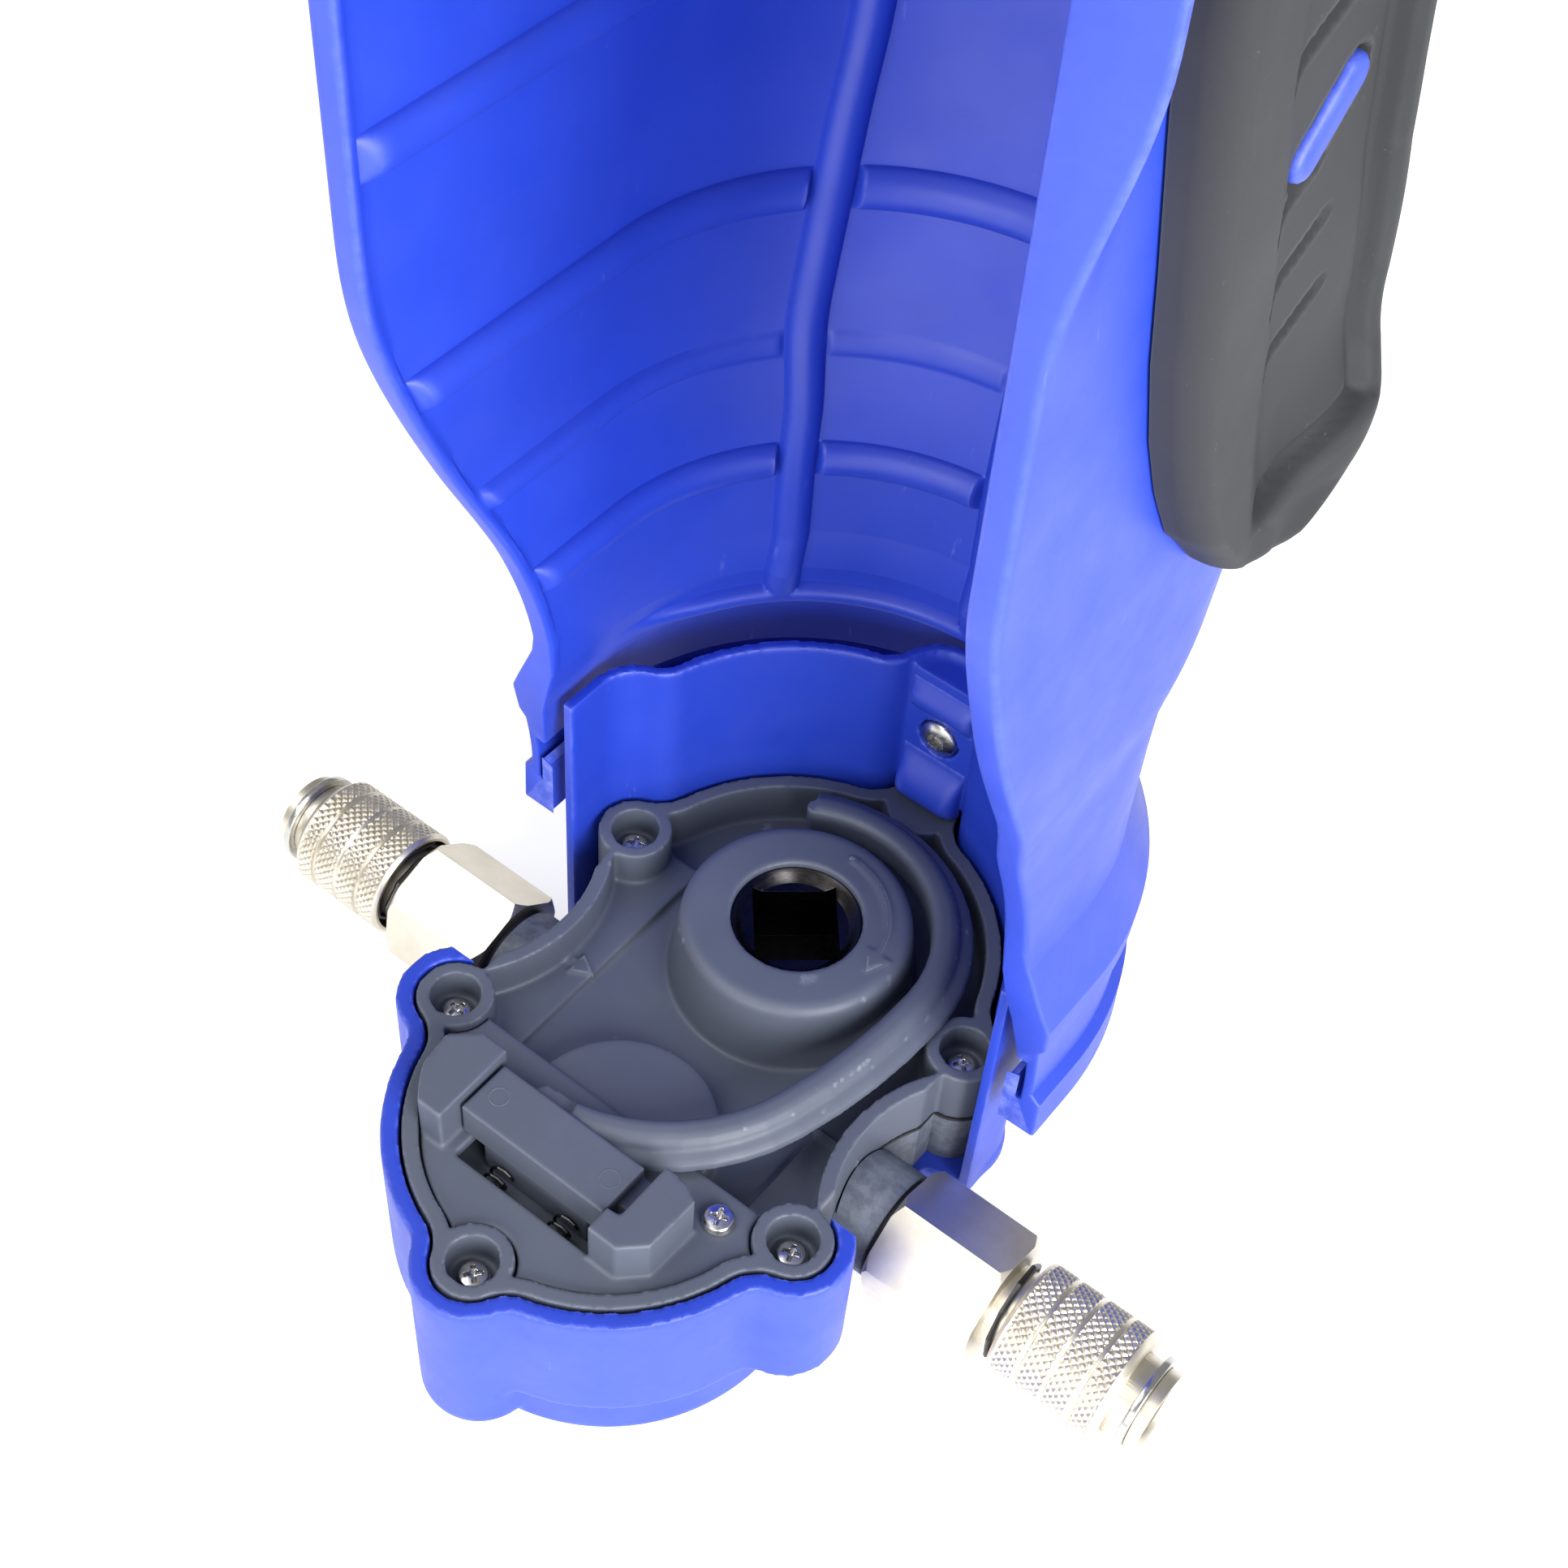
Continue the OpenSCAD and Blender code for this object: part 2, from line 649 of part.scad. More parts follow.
module latch_slider() {
    tip = arm_r * [cos(120), sin(120)];
    color(grey) {
        arm();
        translate([tip[0], tip[1], slider_z + 0.4]) cylinder(r = 1.35, h = slider_top - slider_z - 1.6);
        slab(slider_z, slider_top) translate([slider_x[0], slider_front])
            square([slider_x[1] - slider_x[0], slider_back - slider_front]);
        slab(slider_z, slider_top - 2.5) {
            translate([slider_x[1] - 1, slider_front + 3.4]) square([3.2, slider_back - slider_front - 3.4]);
            polygon([[-11.5, slider_back - 1], [-9.5, slider_back + 2.6],
                     [-3, -44.8], [4, slider_back - 1]]);
        }
        slab(spring_z - 2.3, slider_z + 1) translate([-12, tongue_front])
            square([19.5, tongue_back - tongue_front]);
    }
}

// Helical spring along +Z from the origin, as a swept tube.
module coil(r, wire, length, turns) {
    steps = 10;
    sides = 6;
    n = steps * turns;
    rings = [for (i = [0:n]) let (a = 360 * i / steps, z = wire / 2 + (length - wire) * i / n)
        [for (k = [0:sides - 1]) let (b = 360 * k / sides, q = r - wire / 2 + wire / 2 * cos(b))
            [q * cos(a), q * sin(a), z + wire / 2 * sin(b)]]];
    faces = concat([[for (k = [0:sides - 1]) k]],
                   [for (i = [0:n - 1], k = [0:sides - 1])
                       let (a = i * sides + k, b = i * sides + (k + 1) % sides)
                       each [[a, a + sides, b], [b, a + sides, b + sides]]],
                   [[for (k = [sides - 1:-1:0]) n * sides + k]]);
    polyhedron([for (row = rings) each row], faces);
}

module latch_spring(x) {
    color(steel) translate([x, tongue_front - 0.02, spring_z]) rotate([90, 0, 0])
        coil(2, 0.5, tongue_front - spring_wall_y - 0.04, 5);
}

module latch_spring_left() { latch_spring(latch_spring_x[0]); }
module latch_spring_right() { latch_spring(latch_spring_x[1]); }

// Everything on a coupler is modelled along +Z from the pump axis and then laid along +X or -X.
module at_port(side) {
    mirror([side < 0 ? 1 : 0, 0, 0]) translate([0, port_y, port_z]) rotate([0, 90, 0]) children();
}

module port_washer(side) {
    color(black) at_port(side) translate([0, 0, port_face])
        ring(port_boss_r - 0.6, thread_r + screw_clear, washer_thick);
}

module coupler_body(side) {
    hex_r = hex_flats / sqrt(3);
    color(nickel) at_port(side) difference() {
        union() {
            translate([0, 0, spigot_x + 0.3]) cylinder(r = thread_r, h = hex_x - spigot_x);
            intersection() {
                translate([0, 0, hex_x]) rotate(side * 10) cylinder(r = hex_r, h = hex_length, $fn = 6);
                translate([0, 0, hex_x]) {
                    cylinder(r1 = hex_r - 1, r2 = hex_r + 0.2, h = 1.2);
                    translate([0, 0, 1.2]) cylinder(r = hex_r + 0.2, h = hex_length - 2.4);
                    translate([0, 0, hex_length - 1.2]) cylinder(r1 = hex_r + 0.2, r2 = hex_r - 1, h = 1.2);
                }
            }
            translate([0, 0, hex_end - 1]) cylinder(r = nose_r, h = tip_x - hex_end + 1);
        }
        translate([0, 0, spigot_x]) cylinder(r = flow_r, h = tip_x);
        translate([0, 0, stop_x - 1.5]) cylinder(r = valve_r, h = seat_x - stop_x + 1.5);
        translate([0, 0, seat_x + 2]) cylinder(r = bore_r, h = tip_x);
        translate([0, 0, mouth_x]) cylinder(r = mouth_r, h = tip_x);
        translate([0, 0, tip_x - mouth_chamfer])
            cylinder(r1 = mouth_r, r2 = mouth_r + mouth_chamfer, h = mouth_chamfer + EPS);
        translate([0, 0, sleeve_end + 2.2]) ring(nose_r + 1, nose_r - 0.5, 1.3);
        translate([0, 0, seat_x + 4]) cylinder(r = bore_r + 0.7, h = 1.8);
        for (k = [0:ball_count - 1]) translate([0, 0, ball_x]) rotate(ball_start + 360 * k / ball_count)
            rotate([0, 90, 0]) cylinder(d = ball_d + 0.1, h = nose_r + 1);
    }
}

module coupler_sleeve(side) {
    color(nickel) at_port(side) difference() {
        translate([0, 0, sleeve_x]) {
            cylinder(r1 = sleeve_r - 0.6, r2 = sleeve_r, h = 0.6);
            translate([0, 0, 0.6]) cylinder(r = sleeve_r, h = sleeve_length - 1.8);
            translate([0, 0, sleeve_length - 1.2]) cylinder(r1 = sleeve_r, r2 = sleeve_r - 1.2, h = 1.2);
        }
        translate([0, 0, sleeve_x - 1]) cylinder(r = nose_r + run_clear, h = sleeve_length + 2);
        translate([0, 0, sleeve_x - 1]) cylinder(r = spring_room_r, h = sleeve_land - sleeve_x + 1);
        for (k = [1:3]) translate([0, 0, sleeve_x + k * sleeve_length / 4 - 0.4])
            ring(sleeve_r + 1, sleeve_r - 0.35, 0.8);
    }
}

module sleeve_spring(side) {
    color(steel) at_port(side) translate([0, 0, hex_end + 0.02])
        coil(nose_r + 1.35, 0.8, sleeve_land - hex_end - 0.04, 6);
}

module locking_balls(side) {
    color(steel) at_port(side) for (k = [0:ball_count - 1]) rotate(ball_start + 360 * k / ball_count)
        translate([nose_r - ball_d / 2, 0, ball_x]) sphere(d = ball_d);
}

module retaining_ring(side) {
    color(steel) at_port(side) translate([0, 0, sleeve_end + 2.25]) ring(nose_r + 1.2, nose_r - 0.45, 1.2);
}

module plug_seal(side) {
    groove = bore_r + 0.7;
    color(black) at_port(side) translate([0, 0, seat_x + 4.9]) rotate_extrude()
        translate([groove - 0.8, 0]) circle(0.75);
}

module valve_poppet(side) {
    color(bronze) at_port(side) {
        translate([0, 0, seat_x - 2.2]) cylinder(r = poppet_r, h = 2.1);
        translate([0, 0, seat_x - 0.2]) cylinder(r = flow_r - 0.5, h = 8);
        translate([0, 0, seat_x - 7]) cylinder(r = 1.6, h = 5);
    }
}

module valve_spring(side) {
    color(steel) at_port(side) translate([0, 0, stop_x + 0.02])
        coil(3.6, 0.6, seat_x - 2.2 - stop_x - 0.04, 6);
}

module spring_stop(side) {
    color(bronze) at_port(side) translate([0, 0, stop_x - 1.48]) ring(valve_r - 0.02, 2.2, 1.48);
}

module port_washer_in() { port_washer(-1); }
module port_washer_out() { port_washer(1); }
module coupler_body_in() { coupler_body(-1); }
module coupler_body_out() { coupler_body(1); }
module coupler_sleeve_in() { coupler_sleeve(-1); }
module coupler_sleeve_out() { coupler_sleeve(1); }
module sleeve_spring_in() { sleeve_spring(-1); }
module sleeve_spring_out() { sleeve_spring(1); }
module locking_balls_in() { locking_balls(-1); }
module locking_balls_out() { locking_balls(1); }
module retaining_ring_in() { retaining_ring(-1); }
module retaining_ring_out() { retaining_ring(1); }
module plug_seal_in() { plug_seal(-1); }
module plug_seal_out() { plug_seal(1); }
module valve_poppet_in() { valve_poppet(-1); }
module valve_poppet_out() { valve_poppet(1); }
module valve_spring_in() { valve_spring(-1); }
module valve_spring_out() { valve_spring(1); }
module spring_stop_in() { spring_stop(-1); }
module spring_stop_out() { spring_stop(1); }

// Shell: straight sides and a round back. Its inner radius, back depth and front edge follow the height z.
function shell_in(z) = waist_r + (cradle_half_width - waist_r) * smooth(z, rim_z + 66, rim_z + 86)
    - 0.9 * smooth(z, rim_z + 110, rim_z + 130);
function shell_back(z) = tall_back + slide_gap + 0.2 + cradle_lean * smooth(z, rim_z + 55, rim_z + 145);
function shell_front(z) = tall_front - 0.3 - 2.7 * smooth(z, rim_z + 12, rim_z + 36)
    - 28.2 * smooth(z, rim_z + 36, rim_z + 130);
function lip_flare(z) = 6 * smooth(z, rim_z + 158, rim_z + 194);
function level_rib(z) = max([for (l = rib_levels) abs(z - l) < rib_top_half + 0.1 ? rib_height : 0,
    abs(z - thin_rib_z) < 0.6 ? thin_rib_height : 0]);
function upright_rib(a) = max([for (l = rib_angles) abs(a - l) < 2 ? rib_height : 0]);

// A point of the shell at station [front distance, angle] for radius r at height z.
function shell_point(s, r, z, r_mid) = let (yc = shell_back(z) - r_mid, y = shell_front(z))
    s[1] == 0 ? [r, y + (yc - y) * s[0], z] :
    s[1] == 180 ? [-r, y + (yc - y) * s[0], z] : [r * cos(s[1]), yc + r * sin(s[1]), z];

shell_stations = concat([[0, 0], [0.06, 0], [0.16, 0], [0.5, 0], [1, 0]],
    [for (a = sorted([12, 24, 36, 60, 72, 80, 102, 112, 122, 146, 157, 168,
                      for (l = rib_angles) each [l - 4, l - 1.5, l + 1.5, l + 4]])) [1, a]],
    [[1, 180], [0.5, 180], [0.16, 180], [0.06, 180], [0, 180]]);

// Section of the lower edge, [outer radius, outer z, inner radius, inner z], from waist to hook.
shell_hem = [[waist_r + shell_wall + 0.5, 41, waist_r, 38], [tab_r + 7.4, 30, tab_r, 33],
    [tab_r + 7.2, 24.4, tab_r + 1.4, 28], [tab_r + 6.2, 22.6, tab_r + 2.8, 18.4],
    [tab_r + 6.2, 19, tab_r + 4.4, 18.6], [tab_r + 6.2, 11, tab_r + 4.6, 9],
    [tab_r + 7.7, 9.6, tab_r + 4.6, 8.8], [tab_r + 7.9, 2.1, tab_r + 4, 8.5],
    [tab_r + 2.4, 2, tab_r + 3.5, 8.8], [tab_r + 2.4, 13.2, tab_r + 3.5, 14]];

function rib_rows(l, base, top) = [l - base, l - top, l + top, l + base];
shell_levels = sorted(concat([for (l = rib_levels) each rib_rows(l, rib_half, rib_top_half)],
    rib_rows(thin_rib_z, thin_rib_half, 0.4),
    [for (v = [47, 54, 68, 74, 84, 88, 95, 113, 122, 131, 150, 158, 168, 178, 188]) rim_z + v],
    [shell_top - 4, shell_top]));

function edge_fade(s) = s[1] == 0 || s[1] == 180 ? (s[0] < 0.1 ? 0 : 1) : 1;
function bump(s, z) = max(level_rib(z) * edge_fade(s), z < shell_top - 1 ? upright_rib(s[1]) : 0);
function flare(s, z) = s[1] == 0 || s[1] == 180 ? lip_flare(z) * (1 - smooth(s[0], 0, 0.16)) : 0;

function shell_outer_row(z) = [for (s = shell_stations)
    shell_point(s, shell_in(z) + shell_wall + flare(s, z), z, shell_in(z))];
function shell_inner_row(z) = [for (s = shell_stations)
    shell_point(s, shell_in(z) - bump(s, z), z, shell_in(z))];
function hem_row(h, k) = [for (s = shell_stations)
    shell_point(s, h[k] - (k == 2 && h[3] > 34 ? upright_rib(s[1]) : 0), rim_z + h[k + 1], waist_r + 1.2)];

module rear_shell() {
    levels = [for (i = [len(shell_levels) - 1:-1:0]) shell_levels[i]];
    outer = concat([for (z = levels) shell_outer_row(z)], [for (h = shell_hem) hem_row(h, 0)]);
    inner = concat([for (z = levels) shell_inner_row(z)], [for (h = shell_hem) hem_row(h, 2)]);
    rows = len(outer);
    cols = len(shell_stations);
    count = rows * cols;
    quad = function (a, b, c, d) [[a, b, c], [a, c, d]];
    faces = concat(
        [for (i = [0:rows - 2], j = [0:cols - 2]) let (a = i * cols + j)
            each quad(a, a + 1, a + cols + 1, a + cols)],
        [for (i = [0:rows - 2], j = [0:cols - 2]) let (a = count + i * cols + j)
            each quad(a, a + cols, a + cols + 1, a + 1)],
        [for (i = [0:rows - 2]) let (a = i * cols) each quad(a, a + cols, count + a + cols, count + a)],
        [for (i = [0:rows - 2]) let (a = i * cols + cols - 1)
            each quad(a, count + a, count + a + cols, a + cols)],
        [for (j = [0:cols - 2]) each quad(j, count + j, count + j + 1, j + 1)],
        [for (j = [0:cols - 2]) let (a = (rows - 1) * cols + j)
            each quad(a, a + 1, count + a + 1, count + a)]);
    color(blue) difference() {
        union() {
            polyhedron(concat([for (row = outer) each row], [for (row = inner) each row]), faces);
            translate([0, tall_back + 0.1, bracket_z]) rotate([-90, 0, 0])
                cylinder(r = shell_boss_r, h = tab_r + 6 - tall_back + 1);
        }
        translate([0, tall_back - 1, bracket_z]) rotate([-90, 0, 0])
            cylinder(r = shell_screw_r + screw_clear, h = 5.2);
    }
}

// Grip pad: follows the shell's outside from its front edge round to the start of the back.
pad_levels = sorted(concat([pad_bottom, pad_bottom + 1, pad_bottom + 3, pad_bottom + 7, pad_bottom + 13],
    [for (v = [126, 134, 142, 154, 165, 175, 185, 195]) rim_z + v], [pad_end - 1.5, pad_end]));
pad_front_edge = [[0, 6], [1, 4], [3, 1], [8, -3], [12, -6.5], [20, -10.5], [30, -14.8], [42, -18.5],
                  [54, -21.2], [72, -25.6], [80, -27.4], [120, -33]];
function pad_front(z) = let (edge = shell_front(z), run = shell_back(z) - shell_in(z) - edge)
    max(lookup(z - pad_bottom, pad_front_edge), edge + 0.165 * run);
pad_gap = 0.35;
function pad_rear(z) = lookup(z - pad_bottom,
    [[0, 9], [1, 12], [3, 16], [7, 23], [12, 27], [31, 27], [43, 21.5], [52, 18.3], [68, 14], [97, 7]]);
function pad_point(z, y, rise) = let (r = shell_in(z) + shell_wall + pad_gap,
    yc = shell_back(z) - shell_in(z),
    a = max(0, y - yc) / r * 180 / PI)
    a == 0 ? [r + rise, y, z] : [(r + rise) * cos(a), yc + (r + rise) * sin(a), z];
pad_columns = [[0, 0.35, 0], [0.05, 0.92, 0], [0.2, 1, 0], [0.4, 1, 0], [0.55, 1, 0.1], [0.67, 1, 0.4],
               [0.78, 1, 0.8], [0.87, 1, 1], [0.95, 0.92, 0.9], [1, 0.35, 0]];
function swell(z) = pad_swell * exp(-pow((z - pad_bottom - 12) / 10, 2));
function pad_loop(z, k) = let (f = pad_front(z), w = pad_rear(z) - f, n = len(pad_columns) - 1)
    concat([for (c = pad_columns) pad_point(z, f + w * c[0], 0)],
           [for (i = [n:-1:0]) let (c = pad_columns[i])
               pad_point(z, f + w * c[0], (pad_thick * c[1] + swell(z) * c[2]) * k)]);
function end_rise(i, n) = i == 0 || i == n ? 0.35 : i == 1 || i == n - 1 ? 0.85 : 1;

module grip_pad() {
    n = len(pad_levels) - 1;
    loops = [for (i = [0:n]) pad_loop(pad_levels[i], end_rise(i, n))];
    m = len(loops[0]);
    cap = function (o) [for (k = [0:m / 2 - 2])
        each [[o + k, o + k + 1, o + m - 2 - k], [o + k, o + m - 2 - k, o + m - 1 - k]]];
    faces = concat([for (t = cap(0)) [t[2], t[1], t[0]]],
        [for (i = [0:n - 1], k = [0:m - 1]) let (a = i * m + k, b = i * m + (k + 1) % m)
            each [[a, b, b + m], [a, b + m, a + m]]],
        cap(n * m));
    polyhedron([for (l = loops) each l], faces);
}

module grip_pad_right() { color(black) grip_pad(); }
module grip_pad_left() { color(black) mirror([1, 0, 0]) grip_pad(); }

rear_shell();
shell_screw();
grip_pad_left();
grip_pad_right();
lower_cup();
pump_body();
chamber_gasket();
pump_cover();
cover_screws();
drive_shaft();
drive_gear();
drive_lock_pin();
driven_shaft();
driven_gear();
drive_bush_upper();
drive_bush_lower();
driven_bush_upper();
driven_bush_lower();
shaft_seal();
latch_plate();
latch_plate_screw();
latch_slider();
latch_spring_left();
latch_spring_right();
port_washer_in();
port_washer_out();
coupler_body_in();
coupler_body_out();
coupler_sleeve_in();
coupler_sleeve_out();
sleeve_spring_in();
sleeve_spring_out();
locking_balls_in();
locking_balls_out();
retaining_ring_in();
retaining_ring_out();
plug_seal_in();
plug_seal_out();
valve_poppet_in();
valve_poppet_out();
valve_spring_in();
valve_spring_out();
spring_stop_in();
spring_stop_out();
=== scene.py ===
import math

import bpy
import bmesh
import numpy as np
from mathutils import Matrix, Vector


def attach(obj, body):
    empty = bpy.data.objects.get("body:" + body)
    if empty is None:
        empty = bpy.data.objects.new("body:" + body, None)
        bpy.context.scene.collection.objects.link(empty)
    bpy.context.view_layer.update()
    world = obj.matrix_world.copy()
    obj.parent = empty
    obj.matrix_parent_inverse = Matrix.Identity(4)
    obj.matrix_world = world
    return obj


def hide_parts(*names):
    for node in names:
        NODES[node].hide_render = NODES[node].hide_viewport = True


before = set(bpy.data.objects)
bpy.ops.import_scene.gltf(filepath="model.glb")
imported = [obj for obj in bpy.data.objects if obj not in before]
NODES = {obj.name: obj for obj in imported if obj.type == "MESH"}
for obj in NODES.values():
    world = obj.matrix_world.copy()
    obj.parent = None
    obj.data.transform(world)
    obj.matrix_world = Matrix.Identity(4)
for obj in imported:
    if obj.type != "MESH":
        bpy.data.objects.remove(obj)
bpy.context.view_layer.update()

MM = 0.001

# ---------------------------------------------------------------- sizes repeated from the CAD source, mm
RIM_Z = 36.0
SHELL_TOP = 242.0
WAIST_R = 39.2
TAB_R = 40.4
HALF_WIDTH = 41.6
TALL_BACK = 41.6
SHELL_WALL = 3.5
RIB_HEIGHT = 1.8
RIB_SWELL = 0.3
BACK_PULL = 0.3
RIB_LEVELS = [RIM_Z + 59.5, RIM_Z + 102.5, RIM_Z + 139.3]
THIN_RIB_Z = RIM_Z + 79
RIB_ANGLES = [45.0, 91.0, 135.5]
BRACKET_Y, BRACKET_Z = 34.5, 51.0
PAD_BOTTOM = 143.0
PAD_SWELL = 3.6
PAD_END = 240.0
PAD_GAP = 0.35
PORT_Y, PORT_Z = -22.0, 19.5
SLEEVE_X, SLEEVE_END = 59.4, 77.7
SLEEVE_R, SLEEVE_BORE, SPRING_ROOM_R, SLEEVE_LAND = 9.2, 6.55, 8.25, 70.4
SCREW_SEAT_Z = 30.5
SCREW_END_Z = 12.3
BOSSES = [(-31.7, 0.0), (31.7, 0.0), (-31.6, -41.0), (31.6, -41.0), (0.0, -71.5)]
PLATE_SCREW = (21.7, -45.1)
PLATE_TOP = 35.0
SLIDER_TOP = 41.5
HUB_TOP = 41.0
FLOOR_Z = 28.0
SIDES = ((-1, "in"), (1, "out"))


def smooth(v, a, b):
    """0 below a, 1 above b, and an even S-curve between them."""
    t = np.clip((np.asarray(v, float) - a) / (b - a), 0, 1)
    return t * t * (3 - 2 * t)


# ---------------------------------------------------------------- materials
def srgb(r, g, b):
    """A linear colour from 8-bit sRGB values."""
    def lin(c):
        c /= 255
        return c / 12.92 if c <= 0.04045 else ((c + 0.055) / 1.055) ** 2.4
    return (lin(r), lin(g), lin(b), 1)


class Graph:
    """A material's node tree, with short ways to add and join nodes."""

    def __init__(self, name):
        self.material = bpy.data.materials.new(name)
        self.material.use_nodes = True
        self.tree = self.material.node_tree
        self.shader = self.tree.nodes["Principled BSDF"]

    def add(self, kind, **inputs):
        node = self.tree.nodes.new(kind)
        for key, value in inputs.items():
            name = key.replace("_", " ")
            if name in node.inputs:
                self.put(node.inputs[name], value)
            else:
                setattr(node, key, value)
        return node

    def put(self, socket, value):
        if isinstance(value, bpy.types.NodeSocket):
            self.tree.links.new(value, socket)
        else:
            socket.default_value = value

    def noise(self, scale, detail=3.0, roughness=0.5, stretch=None):
        place = self.add("ShaderNodeTexCoord").outputs["Object"]
        if stretch:
            place = self.add("ShaderNodeMapping", Vector=place, Scale=stretch).outputs[0]
        node = self.add("ShaderNodeTexNoise", Vector=place, Scale=scale, Detail=detail,
                        Roughness=roughness)
        return node.outputs["Fac"]

    def ramp(self, value, low, high, to_low, to_high):
        node = self.add("ShaderNodeMapRange", Value=value)
        for key, number in zip(("From Min", "From Max", "To Min", "To Max"),
                               (low, high, to_low, to_high)):
            node.inputs[key].default_value = number
        return node.outputs[0]

    def mix(self, factor, a, b):
        node = self.add("ShaderNodeMix", data_type="RGBA")
        self.put(node.inputs[0], factor)
        self.put(node.inputs[6], a)
        self.put(node.inputs[7], b)
        return node.outputs[2]

    def times(self, a, b):
        node = self.add("ShaderNodeMath", operation="MULTIPLY")
        self.put(node.inputs[0], a)
        self.put(node.inputs[1], b)
        return node.outputs[0]

    def bump(self, height, depth_mm, strength=1.0, base=None):
        node = self.add("ShaderNodeBump", Height=height, Distance=depth_mm * MM, Strength=strength)
        if base is not None:
            self.put(node.inputs["Normal"], base)
        return node.outputs[0]

    def edge(self, low, high):
        """High on sharp outer edges, where handling rubs the surface."""
        point = self.add("ShaderNodeNewGeometry").outputs["Pointiness"]
        return self.ramp(point, low, high, 0.0, 1.0)


def shade(colour, factor):
    """The colour made darker or lighter by a factor."""
    return tuple(min(1.0, c * factor) for c in colour[:3]) + (1,)


def plastic(name, colour, rough, grain_mm, grain_depth, worn, wear, mottle, specular):
    """Moulded plastic: faint flow mottling, a fine spark-eroded grain, and lighter rubbed edges."""
    g = Graph(name)
    cloud = g.ramp(g.noise(38, 4, 0.6), 0.3, 0.7, 0.0, 1.0)
    body = g.mix(cloud, shade(colour, 1 - mottle), shade(colour, 1 + mottle))
    rub = g.times(g.edge(0.52, 0.60), g.ramp(g.noise(420, 4, 0.7), 0.40, 0.62, 0.25, 1.0))
    body = g.mix(g.times(rub, wear), body, worn)
    scuff = g.ramp(g.noise(260, 6, 0.72, stretch=(1, 1, 0.22)), 0.66, 0.74, 0.0, 0.30)
    body = g.mix(scuff, body, worn)
    g.put(g.shader.inputs["Base Color"], body)
    g.put(g.shader.inputs["Roughness"],
          g.ramp(g.noise(90, 5, 0.6), 0.3, 0.7, rough - 0.06, rough + 0.08))
    g.shader.inputs["Specular IOR Level"].default_value = specular
    coarse = g.bump(g.noise(1000 / grain_mm, 2, 0.5), grain_depth, 0.7)
    sink = g.bump(g.noise(45, 2, 0.4), 0.05, 0.35, coarse)
    g.put(g.shader.inputs["Normal"], sink)
    return g.material


def metal(name, colour, dark, rough, scratch, stretch=(1, 1, 1), spots=0.2, spread=1.0):
    """Plated or ground metal: tarnish clouds, small pits and a fine grain that stretch draws out."""
    g = Graph(name)
    cloud = g.ramp(g.noise(120, 5, 0.65), 0.36, 0.72, 0.0, 0.55)
    body = g.mix(cloud, colour, dark)
    pits = g.ramp(g.noise(900, 3, 0.7), 0.66, 0.74, 0.0, spots)
    body = g.mix(pits, body, shade(dark, 0.6))
    g.put(g.shader.inputs["Base Color"], body)
    g.shader.inputs["Metallic"].default_value = 1.0
    g.put(g.shader.inputs["Roughness"],
          g.ramp(g.noise(500, 5, 0.7, stretch), 0.3, 0.7,
                 rough - 0.07 * spread, rough + 0.12 * spread))
    fine = g.bump(g.noise(1600, 4, 0.75, stretch), scratch, 0.8)
    g.put(g.shader.inputs["Normal"], fine)
    return g.material


def rubber(name, colour, grain_mm, grain_depth, rough, dust):
    """Moulded rubber: matt, finely pebbled, with a little grey dust on it."""
    g = Graph(name)
    cloud = g.ramp(g.noise(30, 4, 0.6), 0.35, 0.7, 0.0, 1.0)
    body = g.mix(cloud, shade(colour, 0.88), shade(colour, 1.12))
    speck = g.ramp(g.noise(700, 3, 0.8), 0.68, 0.78, 0.0, 0.35)
    body = g.mix(speck, body, dust)
    body = g.mix(g.times(g.edge(0.51, 0.58), 0.25), body, dust)
    g.put(g.shader.inputs["Base Color"], body)
    g.put(g.shader.inputs["Roughness"], g.ramp(g.noise(60, 4), 0.3, 0.7, rough - 0.05, rough + 0.07))
    g.shader.inputs["Specular IOR Level"].default_value = 0.26
    g.put(g.shader.inputs["Normal"], g.bump(g.noise(1000 / grain_mm, 2, 0.5), grain_depth, 0.8))
    return g.material


BLUE = plastic("blue_moulded", srgb(32, 62, 184), rough=0.46, grain_mm=0.45, grain_depth=0.016,
               worn=srgb(140, 154, 232), wear=0.55, mottle=0.07, specular=0.65)
GREY = plastic("grey_moulded", srgb(84, 90, 104), rough=0.48, grain_mm=0.40, grain_depth=0.016,
               worn=srgb(134, 141, 152), wear=0.6, mottle=0.08, specular=0.45)
GRIP = rubber("grip_moulded", srgb(44, 45, 48), 0.5, 0.02, 0.60, srgb(120, 122, 126))
SEAL = rubber("seal_moulded", srgb(28, 28, 30), 0.4, 0.01, 0.5, srgb(80, 80, 84))
NICKEL = metal("nickel_plate", srgb(226, 219, 204), srgb(196, 187, 168), 0.36, 0.0008, spots=0.04,
               spread=0.25)
STEEL = metal("stainless_screw", srgb(214, 213, 210), srgb(150, 148, 146), 0.22, 0.003)
SPRING = metal("spring_wire", srgb(84, 84, 86), srgb(52, 52, 54), 0.34, 0.002)
GEAR = metal("gear_ground", srgb(176, 178, 182), srgb(112, 112, 114), 0.30, 0.004, (1, 1, 5))
DARK = metal("dark_oiled_steel", srgb(60, 58, 58), srgb(26, 25, 26), 0.26, 0.003, (1, 1, 4))
BRONZE = metal("bush_bronze", srgb(196, 150, 92), srgb(134, 96, 52), 0.32, 0.003, (1, 1, 4))

